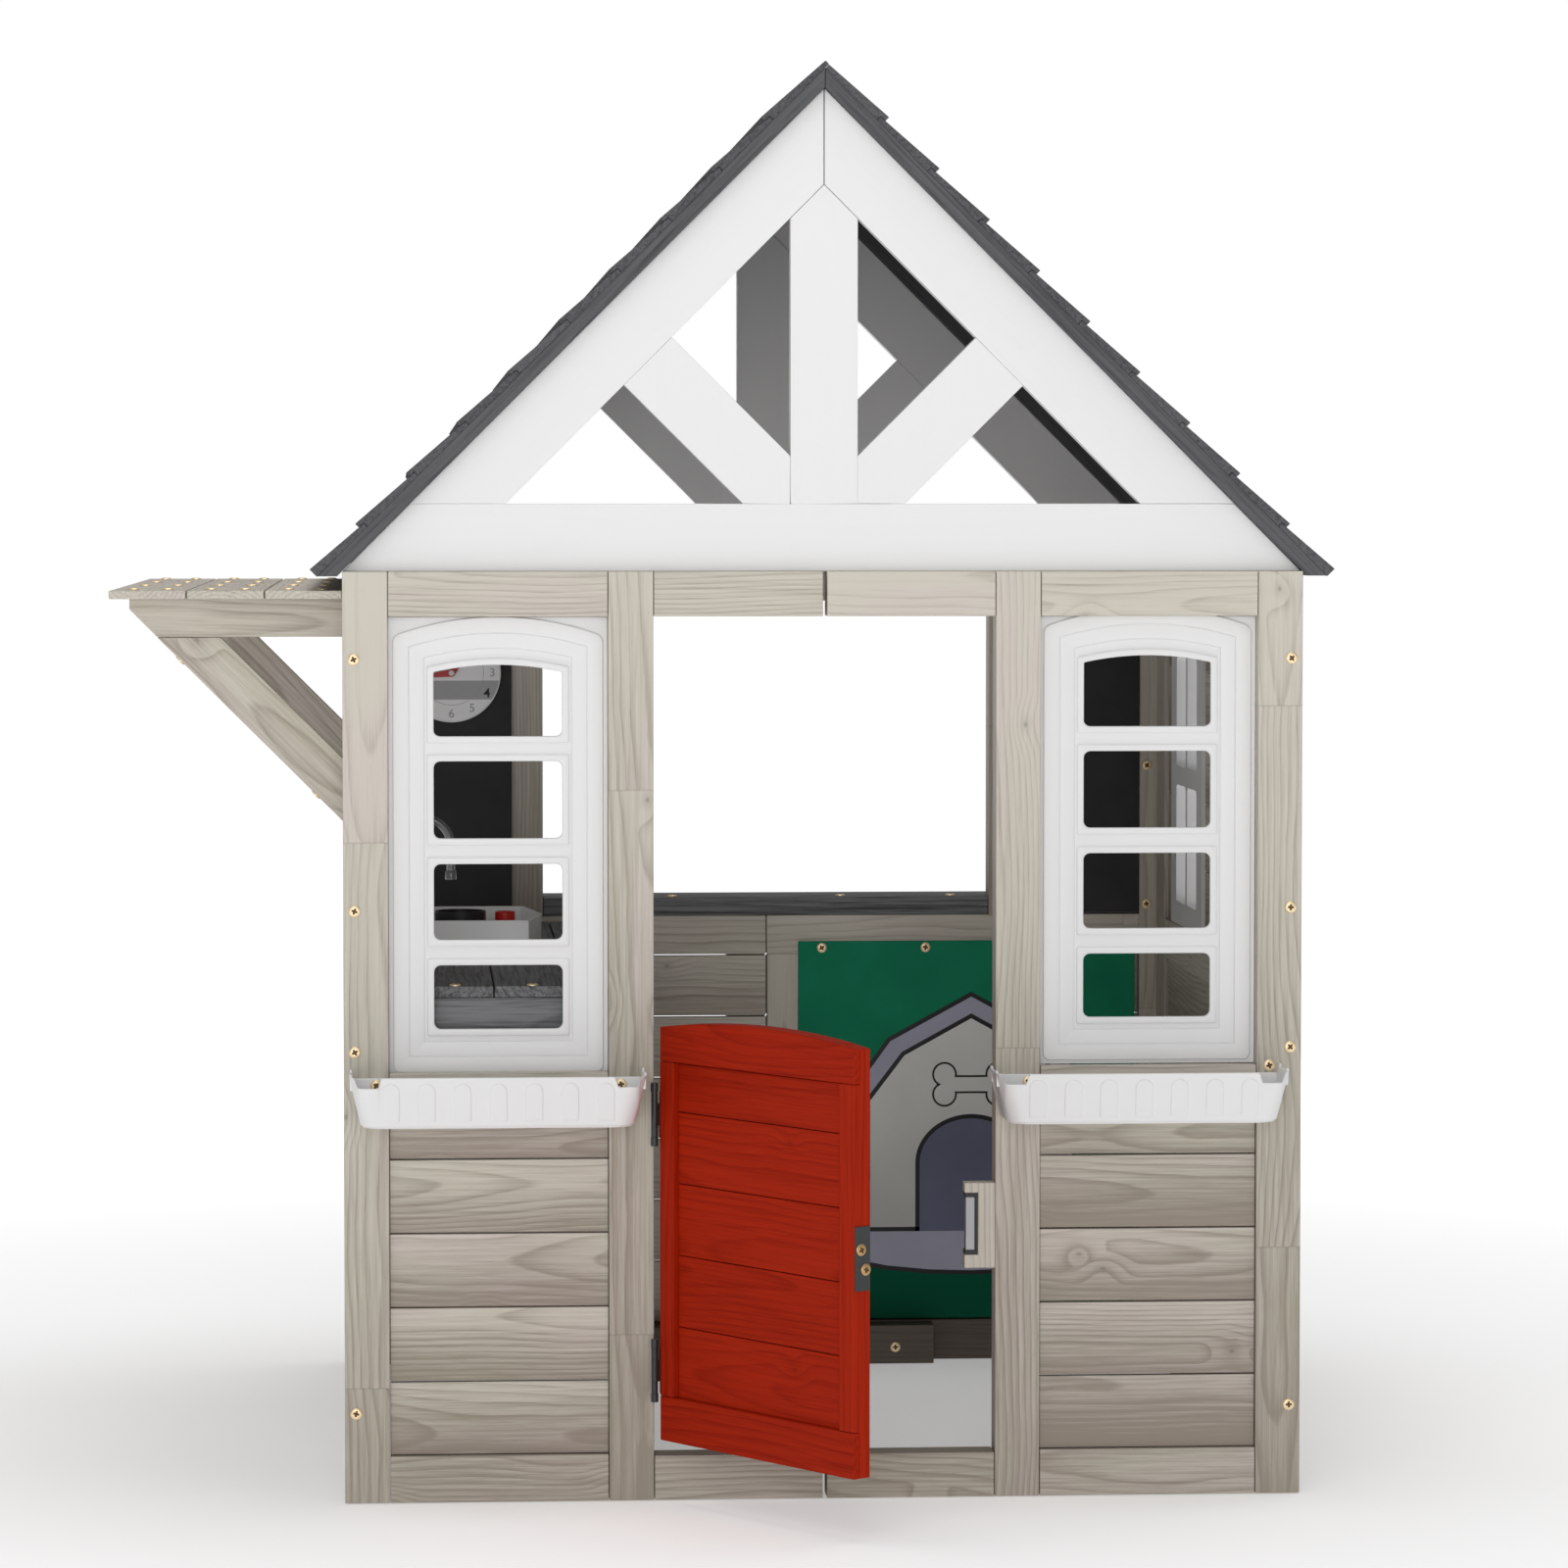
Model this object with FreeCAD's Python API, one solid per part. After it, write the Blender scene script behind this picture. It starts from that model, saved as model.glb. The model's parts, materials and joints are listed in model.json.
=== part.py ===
"""Small wooden cottage playhouse: four panel walls, gabled roof, side awning, half door.

House frame used while building: X = 0 on the centre line of the front wall, +X to the right,
Y = 0 on the outer face of the front wall, +Y into the house, Z = 0 on the ground.
Every finished piece is then moved by SHIFT_X, SHIFT_Y, so that the part's own origin is the
bottom centre of its bounding box, with the door standing open as built.
"""
import FreeCAD, Part

import math
import os

os.makedirs("parts", exist_ok=True)

V = FreeCAD.Vector
ROOT2 = math.sqrt(2.0)

# ---------------------------------------------------------------- driving dimensions (mm)
WIDTH = 986.0            # outer width over the front posts
DEPTH = 989.0            # front face of the front wall to the back face of the back wall
WALL_HEIGHT = 955.0
STOCK = 46.0             # face width of posts and rails
FRAME_DEPTH = 36.0       # thickness of the front and back wall frames
THIN_RAIL = 16.0         # rails that the window units sit behind
BOARD = 12.0             # thickness of siding, counter and shelf boards
BOARD_GAP = 1.6
SIDE_THICK = 22.0        # thickness of the side walls
SIDE_INNER = 468.0       # inner face of a side wall, from the centre line
SIDE_POST = 69.0         # face width of the side wall posts

DOORWAY = 176.0          # half width of the door opening
BAY_INNER = DOORWAY + STOCK
BAY_OUTER = WIDTH / 2 - STOCK
SILL_TOP = 46.0
BAY_RAIL_TOP = 48.0
MID_RAIL_LOW = 397.0
MID_RAIL_TOPS = {"left": 442.4, "right": 445.6}
TOP_RAIL = WALL_HEIGHT - STOCK
SIDING_PITCH = 76.3
SIDING_SETBACK = 6.0
BACK_PITCH = 73.2        # siding pitch of the back and side walls below the sill rail
UPPER_PITCH = 75.0       # siding pitch above the sill rail
SILL_RAIL = (488.0, 534.0)

GABLE_STOCK = 69.0
GABLE_THICK = 20.0
GABLE_SETBACK = 16.0
GABLE_APEX = WALL_HEIGHT + WIDTH / 2      # the roof falls at 45 degrees to the outer wall edge
BATTEN_THICK = 14.0
BATTEN_WIDTH = 46.0
BATTEN_FOOT = 950.0
COURSES = 10
COURSE_PITCH = 73.2
TOP_TIP = 81.7           # ridge to the lower edge of the highest course, down the slope
EAVE_TIP = 732.9         # ridge to the lower edge of the eaves course, down the slope
NOSE = 10.8              # thickness of a shingle at its lower edge
FEATHER = 5.0            # thickness of a shingle at its upper edge
LAP = (7.0, 5.6)         # rebate under a shingle's nose: along and across the slope

AWNING_REACH = 730.0
AWNING_TOP = 935.5
AWNING_SLAT = 8.5
AWNING_SLATS = 3
AWNING_INNER = -(WIDTH / 2 + 0.4)        # edge of the innermost slat, clear of the corner posts
SLAT_PITCH = (AWNING_REACH + AWNING_INNER + BOARD_GAP) / AWNING_SLATS
AWNING_Y = (15.0, 974.0)
ARM_TIP = 712.5
ARM_HEIGHT = 40.0
ARM_THICK = 20.0
ARM_Y = (77.0, 348.0, 621.0, 892.0)
BRACE_FOOT = 693.0       # height of a brace's lower edge where it meets the wall
BRACE_WIDTH = 46.0

COUNTER_TOP = 528.0
COUNTER_EDGES = (-468.0, -417.5, -338.0, -258.5, -178.5)
COUNTER_Y = (39.0, 950.0)
CLEAT = (20.0, 46.0)
SHELF = (534.0, 555.8)   # underside and top of the serving shelf
SHELF_REACH = 54.0
OPENING_BACK = 266.0     # half width of the serving opening in the back wall
BATTEN_STEP = 33.0       # how far the batten at the foot of the back wall stands into the room

WINDOW_CENTRE = 334.5
WINDOW_LIFT = 446.0      # underside of the right window's backing plate
LEFT_WINDOW_DROP = 8.7
PLATE = (224.6, 462.6, 3.0)     # backing plate of the right window: width, height, thickness
SASH = (215.5, 448.0, 3.0)      # raised arched sash: width, height at the sides, thickness
SASH_RISE = 19.7
PANE_WIDTH = 131.5
PANE_ROWS = ((48.5, 65.5), (140.3, 77.6), (244.3, 79.0), (349.0, 65.7))   # bottom, height
PANE_RISE = 7.3
PANE_CORNER = 7.0
SIDE_WINDOW_Y = 702.0
SIDE_PLATE = (258.0, 366.0, 3.0)
SIDE_PANE = 78.0

PLANTER_CENTRES = (-336.5, 320.3)
PLANTER_TOP = 444.4
PLANTER_HEIGHT = 51.4
PLANTER_DEPTH = 80.0
PLANTER_WIDTHS = (301.0, 277.5)  # at the rim and at the bottom
PLANTER_WALL = 2.5
PLANTER_CLEARANCE = 0.2          # between a planter's back plate and the posts

DOOR_WIDTH = 313.0
DOOR_THICK = 21.0
DOOR_FOOT = 63.0
DOOR_SIDE_TOP = 489.0
DOOR_RISE = 10.6
DOOR_STILE = 23.0
DOOR_LAP = 8.0
DOOR_RAILS = (46.0, 35.0)        # height of the bottom rail, of the top rail at its ends
DOOR_PITCH = 73.6
DOOR_OPEN = 55.0
PIN = (-175.6, -4.9)
HINGE_SPANS = ((111.5, 158.5), (375.5, 422.5))
HINGE_CAP = 9.0
CAP_RADIUS = 3.8
BARREL_RADIUS = 3.3
PIN_RADIUS = 2.0
RUNNING = 0.06
LEAF = 1.2
CATCH_Z = (236.5, 326.0)
CATCH_NOTCH = (250.5, 315.5, 14.0)
CATCH_REACH = 32.0

CLOCK = (-374.0, 824.0, 58.5)    # centre X, centre Z, radius
CLOCK_PIN = 2.0
HAND_HUB = 4.6

SINK_CENTRE = (-352.0, 452.0)
SINK_SIZE = (112.0, 144.0, 223.0)   # width at front and back, width in the middle, depth
SINK_TOP = 574.0
SINK_FLOOR = 545.0
SINK_WALL = 4.0
PAN_RADIUS = 28.0
PAN_TOP = 577.0
CUP_TOP = 576.0
FAUCET = (-438.5, 452.0)
FAUCET_TUBE = 4.5
FAUCET_ARC = 29.5
FAUCET_BEND = 649.0

SCREW_HEAD = 6.0
SCREW_SHANK = 2.0


# ---------------------------------------------------------------- plain solids
def block(x, y, z):
    """Box from three (low, high) pairs given in any order."""
    low = V(min(x), min(y), min(z))
    return Part.makeBox(abs(x[1] - x[0]), abs(y[1] - y[0]), abs(z[1] - z[0]), low)


def face_of(points):
    """Flat face inside a closed outline of straight edges."""
    return Part.Face(Part.makePolygon([V(*p) for p in points] + [V(*points[0])]))


def prism_xz(outline, y):
    """Outline in X and Z carried along Y."""
    return face_of([(px, y[0], pz) for px, pz in outline]).extrude(V(0, y[1] - y[0], 0))


def prism_yz(outline, x):
    """Outline in Y and Z carried along X."""
    return face_of([(x[0], py, pz) for py, pz in outline]).extrude(V(x[1] - x[0], 0, 0))


def prism_xy(outline, z):
    """Outline in X and Y carried up Z."""
    return face_of([(px, py, z[0]) for px, py in outline]).extrude(V(0, 0, z[1] - z[0]))


def rod(radius, start, way, length):
    """Round bar from a start point along a direction."""
    return Part.makeCylinder(radius, length, V(*start), V(*way))


def mirrored(shape):
    """The same piece on the other side of the centre line."""
    return shape.mirror(V(0, 0, 0), V(1, 0, 0))


def screw(point, way, length=28.0):
    """Pan-head wood screw: its head stands on the surface at the point, its shank goes along way."""
    x, y, z = point
    back = V(-way[0], -way[1], -way[2])
    head = Part.makeCylinder(SCREW_HEAD, 1.2, V(x, y, z), back)
    crown = Part.makeCone(SCREW_HEAD, SCREW_HEAD * 0.6, 0.9, V(x, y, z) + back * 1.2, back)
    shank = Part.makeCylinder(SCREW_SHANK, length, V(x, y, z), V(*way))
    return head.fuse(crown).fuse(shank).removeSplitter()


def boards(low, high, pitch, place):
    """Horizontal boards stacked from low to high; place makes one from its (bottom, top)."""
    made = []
    bottom = low
    while bottom < high - 1.0:
        top = min(bottom + pitch, high)
        made.append(place((bottom, top - BOARD_GAP)))
        bottom += pitch
    return made


def arched_face(width, height, rise, y, centre, low):
    """Rectangle whose top edge is a shallow arc, in the plane at y."""
    half = width / 2
    a = V(centre - half, y, low)
    b = V(centre + half, y, low)
    c = V(centre + half, y, low + height)
    d = V(centre - half, y, low + height)
    crown = V(centre, y, low + height + rise)
    arc = Part.Arc(c, crown, d).toShape()
    sides = [Part.makeLine(a, b), Part.makeLine(b, c), arc, Part.makeLine(d, a)]
    return Part.Face(Part.Wire(sides))


def round_corners(solid, direction, radius, inside=None):
    """Fillet the edges of a solid that run along one direction."""
    chosen = []
    for edge in solid.Edges:
        if len(edge.Vertexes) != 2 or not isinstance(edge.Curve, Part.Line):
            continue
        run = (edge.Vertexes[1].Point - edge.Vertexes[0].Point).normalize()
        if abs(abs(run.dot(V(*direction))) - 1.0) > 1e-6:
            continue
        if inside is None or inside(edge.CenterOfMass):
            chosen.append(edge)
    return solid.makeFillet(radius, chosen)


# ---------------------------------------------------------------- front wall
def front_wall(nodes):
    """Two half panels that meet on the centre line over and under the doorway."""
    full = (0.0, FRAME_DEPTH)
    thin = (0.0, THIN_RAIL)
    bay = (BAY_INNER, BAY_OUTER)
    half_gap = 1.5
    for side, flip in (("right", False), ("left", True)):
        posts = [block((BAY_OUTER, WIDTH / 2), full, (0, WALL_HEIGHT)),
                 block((DOORWAY, BAY_INNER), full, (0, WALL_HEIGHT))]
        rails = [block(bay, thin, (TOP_RAIL, WALL_HEIGHT)),
                 block(bay, thin, (MID_RAIL_LOW, MID_RAIL_TOPS[side])),
                 block(bay, full, (0, BAY_RAIL_TOP)),
                 block((half_gap, DOORWAY), full, (TOP_RAIL, WALL_HEIGHT)),
                 block((half_gap, DOORWAY), full, (0, SILL_TOP))]
        depth = (SIDING_SETBACK, SIDING_SETBACK + BOARD - 2.0)
        siding = boards(BAY_RAIL_TOP + 0.8, MID_RAIL_LOW, SIDING_PITCH,
                        lambda z: block((BAY_INNER + 0.4, BAY_OUTER - 0.4), depth, z))
        for name, solids in (("posts", posts), ("rails", rails), ("siding", siding)):
            nodes["front_%s_%s" % (side, name)] = [mirrored(s) for s in solids] if flip else solids
    nodes["front_right_window"] = [front_window(WINDOW_CENTRE, WINDOW_LIFT)]
    nodes["front_left_window"] = [front_window(-WINDOW_CENTRE, WINDOW_LIFT - LEFT_WINDOW_DROP)]
    nodes["front_left_planter"] = [planter(PLANTER_CENTRES[0])]
    nodes["front_right_planter"] = [planter(PLANTER_CENTRES[1])]


def front_window(centre, low):
    """Moulded window unit: backing plate, raised arched sash and four open panes in a column."""
    width, full_height, thick = PLATE
    # both plates end just under the top rail
    height = WINDOW_LIFT + full_height - low
    front = THIN_RAIL + 0.5
    plate = block((centre - width / 2, centre + width / 2), (front + SASH[2], front + SASH[2] + thick),
                  (low, low + height))
    sash_low = low + 3.8
    sash = arched_face(SASH[0], SASH[1], SASH_RISE, front, centre, sash_low).extrude(V(0, SASH[2], 0))
    # the sash is trimmed level with the top of the plate, behind the top rail
    opening = block((centre - width, centre + width), (front, front + SASH[2]), (low, low + height))
    sash = sash.common(opening)
    unit = plate.fuse(sash).removeSplitter()
    for number, (bottom, tall) in enumerate(PANE_ROWS):
        top_row = number == len(PANE_ROWS) - 1
        rise = PANE_RISE if top_row else 0.0
        if rise:
            hole = arched_face(PANE_WIDTH, tall, rise, front - 5, centre, low + bottom)
            hole = hole.extrude(V(0, 20, 0))
            hole = round_corners(hole, (0, 1, 0), PANE_CORNER, lambda p: p.z < low + bottom + 1)
        else:
            hole = block((centre - PANE_WIDTH / 2, centre + PANE_WIDTH / 2), (front - 5, front + 15),
                         (low + bottom, low + bottom + tall))
            hole = round_corners(hole, (0, 1, 0), PANE_CORNER)
        unit = unit.cut(hole)
    return unit


def planter(centre):
    """Tapered trough with rounded front corners, hung on the wall by its back plate."""
    shell = trough(centre, 0.0).cut(trough(centre, PLANTER_WALL))
    low = PLANTER_TOP - 10.5
    for side in (-1, 1):
        # scooped dip in the front rim near each end
        near = centre + side * (PLANTER_WIDTHS[0] / 2 - 19.0)
        dip = block((near - 14.5, near + 14.5), (-PLANTER_DEPTH - 5, -PLANTER_DEPTH + 14),
                    (low, PLANTER_TOP + 5))
        shell = shell.cut(round_corners(dip, (0, 1, 0), 5.0, lambda p: p.z < low + 1))
        end = centre + side * (PLANTER_WIDTHS[0] / 2 - 2.0)
        for y in (-12.0, -62.0):
            ear = block((end - 1.2, end + 1.2), (y, y + 9.0), (PLANTER_TOP - 14, PLANTER_TOP + 4.5))
            shell = shell.fuse(ear)
    # the back rim stands lower than the front one
    lowered = block((centre - 147, centre + 147), (-12.5, 5), (PLANTER_TOP - 7.5, PLANTER_TOP + 1))
    return shell.cut(lowered).removeSplitter()


def trough(centre, wall):
    """Outer or inner solid of a planter: a loft from the bottom outline up to the rim."""
    rings = []
    for level, width in ((0, PLANTER_WIDTHS[1]), (1, PLANTER_WIDTHS[0])):
        half = width / 2 - wall
        front = -PLANTER_DEPTH + wall + (1 - level) * 8.0
        back = -PLANTER_CLEARANCE - wall
        z = PLANTER_TOP - PLANTER_HEIGHT * (1 - level)
        if wall:
            z += wall if level == 0 else 1.0
        r = 20.0 - wall
        k = r * (1 - 1 / ROOT2)
        a = V(centre - half, back, z)
        b = V(centre - half, front + r, z)
        c = V(centre - half + k, front + k, z)
        d = V(centre - half + r, front, z)
        e = V(centre + half - r, front, z)
        f = V(centre + half - k, front + k, z)
        g = V(centre + half, front + r, z)
        h = V(centre + half, back, z)
        rings.append(Part.Wire([Part.makeLine(a, b), Part.Arc(b, c, d).toShape(), Part.makeLine(d, e),
                                Part.Arc(e, f, g).toShape(), Part.makeLine(g, h), Part.makeLine(h, a)]))
    return Part.makeLoft(rings, True, True)


# ---------------------------------------------------------------- side walls
def side_walls(nodes):
    """Panels between the front and back walls: the left one is open above the counter."""
    y0 = FRAME_DEPTH
    y1 = DEPTH - FRAME_DEPTH
    inner = (y0 + SIDE_POST, y1 - SIDE_POST)
    x = (SIDE_INNER, SIDE_INNER + SIDE_THICK)
    skin = (SIDE_INNER + 5.0, SIDE_INNER + 5.0 + BOARD)
    for side, flip in (("right", False), ("left", True)):
        posts = [block(x, (y0, inner[0]), (0, WALL_HEIGHT)), block(x, (inner[1], y1), (0, WALL_HEIGHT))]
        rails = [block(x, inner, (0, BAY_RAIL_TOP)),
                 block(x, inner, SILL_RAIL),
                 block(x, inner, (TOP_RAIL, WALL_HEIGHT))]
        siding = boards(BAY_RAIL_TOP + 0.8, SILL_RAIL[0], BACK_PITCH,
                        lambda z: block(skin, (inner[0] + 0.4, inner[1] - 0.4), z))
        if side == "right":
            siding += upper_right_siding(skin, inner)
        for name, solids in (("posts", posts), ("rails", rails), ("siding", siding)):
            nodes["%s_wall_%s" % (side, name)] = [mirrored(s) for s in solids] if flip else solids
    nodes["right_wall_window"] = [side_window()]


def upper_right_siding(skin, inner):
    """Boards above the sill rail, cut back to leave the window unit its place."""
    low_y = SIDE_WINDOW_Y - SIDE_PLATE[0] / 2 - 0.5
    high_y = SIDE_WINDOW_Y + SIDE_PLATE[0] / 2 + 0.5
    top = SILL_RAIL[1] + SIDE_PLATE[1] + 0.8
    made = []
    for z in ((SILL_RAIL[1] + UPPER_PITCH * k, SILL_RAIL[1] + UPPER_PITCH * (k + 1)) for k in range(5)):
        span = (z[0] + 0.8, z[1] - 0.8)
        made.append(block(skin, (inner[0] + 0.4, low_y), span))
        made.append(block(skin, (high_y, inner[1] - 0.4), span))
        if span[1] > top:
            made.append(block(skin, (low_y + 0.8, high_y - 0.8), (top, span[1])))
    return made


def side_window():
    """Moulded unit of two by two panes under one arch, let into the siding of the right wall."""
    width, height, thick = SIDE_PLATE
    low = SILL_RAIL[1] + 0.4
    inner = SIDE_INNER + 1.0
    unit = block((inner, inner + SIDE_THICK - 4), (SIDE_WINDOW_Y - width / 2, SIDE_WINDOW_Y + width / 2),
                 (low, low + height))
    hollow = block((inner + thick, inner + SIDE_THICK),
                   (SIDE_WINDOW_Y - width / 2 + thick, SIDE_WINDOW_Y + width / 2 - thick),
                   (low + thick, low + height - thick))
    unit = unit.cut(hollow)
    half_bar = 6.0
    for side in (-1, 1):
        near = SIDE_WINDOW_Y + side * half_bar
        far = SIDE_WINDOW_Y + side * (half_bar + SIDE_PANE)
        lower = block((inner - 5, inner + 25), (near, far), (561.5, 697.5))
        crown = 876.0
        shoulder = 842.0
        upper = prism_yz([(near, 719.5), (far, 719.5), (far, shoulder), (near, crown)],
                         (inner - 5, inner + 25))
        unit = unit.cut(round_corners(lower, (1, 0, 0), PANE_CORNER))
        unit = unit.cut(round_corners(upper, (1, 0, 0), PANE_CORNER))
    return unit


# ---------------------------------------------------------------- back wall
def back_wall(nodes):
    """Back panels with an open serving hatch, chalkboards, a shelf and a picture panel."""
    y = (DEPTH - FRAME_DEPTH, DEPTH)
    inner_face = y[0]
    bay = (OPENING_BACK + STOCK, BAY_OUTER)
    outer = block((BAY_OUTER, WIDTH / 2), y, (0, WALL_HEIGHT))
    hatch = block((OPENING_BACK, bay[0]), y, (SILL_RAIL[1], TOP_RAIL))
    stud = block((1.0, 1.0 + STOCK), (y[0], y[0] + BOARD), (BAY_RAIL_TOP, SILL_RAIL[0]))
    hidden_stud = block((-1.0 - STOCK, -1.0), (y[0] + BOARD + 0.5, y[1]), (BAY_RAIL_TOP, SILL_RAIL[0]))
    nodes["back_wall_posts"] = [outer, mirrored(outer), hatch, mirrored(hatch), stud, hidden_stud]

    half_rail = [block((0.5, BAY_OUTER), y, z) for z in
                 ((0, BAY_RAIL_TOP), SILL_RAIL, (TOP_RAIL, WALL_HEIGHT))]
    batten = block((-198.0, 198.0), (inner_face - BATTEN_STEP, inner_face), (0, STOCK))
    nodes["back_wall_rails"] = half_rail + [mirrored(s) for s in half_rail] + [batten]

    right_skin = (y[0] + BOARD + 0.5, y[0] + 2 * BOARD + 0.5)
    left_skin = (y[0], y[0] + BOARD)
    siding = boards(BAY_RAIL_TOP + 0.8, SILL_RAIL[0], BACK_PITCH,
                    lambda z: block((1.0, BAY_OUTER - 0.4), right_skin, z))
    siding += boards(BAY_RAIL_TOP + 0.8, SILL_RAIL[0], BACK_PITCH,
                     lambda z: block((-1.0, -BAY_OUTER + 0.4), left_skin, z))
    upper = boards(SILL_RAIL[1] + 0.8, TOP_RAIL, UPPER_PITCH,
                   lambda z: block((bay[0] + 0.4, bay[1] - 0.4), right_skin, z))
    nodes["back_wall_siding"] = siding + upper + [mirrored(s) for s in upper]

    board = block((303.0, BAY_OUTER - 1.0), (inner_face - 4.0, inner_face), (536.0, TOP_RAIL))
    nodes["chalkboards"] = [board, mirrored(board)]
    shelf = block((-OPENING_BACK, OPENING_BACK), (inner_face, DEPTH), SHELF)
    lip = block((-300.0, 300.0), (DEPTH, DEPTH + SHELF_REACH), SHELF)
    nodes["serving_shelf"] = [shelf.fuse(lip).removeSplitter()]
    nodes["picture_panel"] = [block((38.0, 441.0), (inner_face - 5.0, inner_face), (50.5, 503.0))]


# ---------------------------------------------------------------- gables and roof
def gable(nodes, name, y):
    """White truss: chord along the wall top, mitred rafters, king post and two struts."""
    span = (y, y + GABLE_THICK)
    half = WIDTH / 2
    chord_top = WALL_HEIGHT + GABLE_STOCK
    across = GABLE_STOCK * ROOT2            # a 45 degree board measured straight up
    inner_apex = GABLE_APEX - across
    chord = [(-half, WALL_HEIGHT), (half, WALL_HEIGHT),
             (half - GABLE_STOCK, chord_top), (-half + GABLE_STOCK, chord_top)]
    nodes["gable_%s_chord" % name] = [prism_xz(chord, span)]
    rafter = [(0.2, GABLE_APEX - 0.2), (0.2, inner_apex), (inner_apex - chord_top, chord_top),
              (GABLE_APEX - chord_top, chord_top)]
    right = prism_xz(rafter, span)
    nodes["gable_%s_rafters" % name] = [right, mirrored(right)]
    post = GABLE_STOCK / 2
    king = [(-post, chord_top), (post, chord_top), (post, inner_apex - post), (0, inner_apex),
            (-post, inner_apex - post)]
    strut_low = chord_top - 83.5            # lower edge meets the chord 83.5 mm from the middle
    strut_high = strut_low + across
    meet_low = (inner_apex - strut_low) / 2
    meet_high = (inner_apex - strut_high) / 2
    strut = [(post, chord_top), (chord_top - strut_low, chord_top), (meet_low, meet_low + strut_low),
             (meet_high, meet_high + strut_high), (post, post + strut_high)]
    right = prism_xz(strut, span)
    nodes["gable_%s_webs" % name] = [prism_xz(king, span), right, mirrored(right)]


def slope_point(down, out):
    """Point of the right slope from its distance down from the ridge and out from the battens."""
    ridge = GABLE_APEX + BATTEN_THICK * ROOT2
    return ((down + out) / ROOT2, ridge + (out - down) / ROOT2)


def roof(nodes):
    """Sloping battens on the rafters and lapped bevel shingles nailed across them."""
    outer_apex = GABLE_APEX + BATTEN_THICK * ROOT2
    outline = [(0.1, GABLE_APEX - 0.1), (0.1, outer_apex - 0.1), (outer_apex - BATTEN_FOOT, BATTEN_FOOT),
               (GABLE_APEX - BATTEN_FOOT, BATTEN_FOOT)]
    places = (0.0, (DEPTH - BATTEN_WIDTH) / 2, DEPTH - BATTEN_WIDTH)
    right = [prism_xz(outline, (y, y + BATTEN_WIDTH)) for y in places]
    nodes["roof_battens"] = right + [mirrored(s) for s in right]
    along, across = LAP
    for side in ("left", "right"):
        courses = []
        for course in range(COURSES):
            tip = TOP_TIP + COURSE_PITCH * course
            upper = tip - COURSE_PITCH - along + 0.4
            if course == 0:
                upper = -NOSE / 2 if side == "left" else 0.3
            if course == COURSES - 1:
                tip = EAVE_TIP
                profile = [(tip, 0.0), (tip, NOSE), (upper, FEATHER), (upper, 0.0)]
            else:
                profile = [(tip - along, 0.0), (tip - along, across), (tip, across), (tip, NOSE),
                           (upper, FEATHER), (upper, 0.0)]
            board = prism_xz([slope_point(*p) for p in profile], (0.0, DEPTH))
            courses.append(mirrored(board) if side == "left" else board)
        nodes["roof_%s_shingles" % side] = courses


# ---------------------------------------------------------------- awning
def awning(nodes):
    """Three slats over the left wall on four arms, the end arms held up by 45 degree braces."""
    wall = -(SIDE_INNER + SIDE_THICK)
    under = AWNING_TOP - AWNING_SLAT
    edges = [-AWNING_REACH + SLAT_PITCH * k for k in range(AWNING_SLATS + 1)]
    nodes["awning_slats"] = [block((low, high - BOARD_GAP), AWNING_Y, (under, AWNING_TOP))
                             for low, high in zip(edges, edges[1:])]
    foot = under - ARM_HEIGHT
    edge = BRACE_FOOT + wall                # the braces' lower edges lie on x + z = edge
    arm = [(-ARM_TIP, under), (-ARM_TIP, edge + ARM_TIP), (edge - foot, foot), (wall, foot), (wall, under)]
    nodes["awning_arms"] = [prism_xz(arm, (y, y + ARM_THICK)) for y in ARM_Y]
    rise = BRACE_WIDTH * ROOT2
    brace = [(edge - foot, foot), (wall, BRACE_FOOT), (wall, BRACE_FOOT + rise), (edge + rise - foot, foot)]
    nodes["awning_braces"] = [prism_xz(brace, (y, y + ARM_THICK)) for y in (ARM_Y[0], ARM_Y[-1])]


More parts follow.
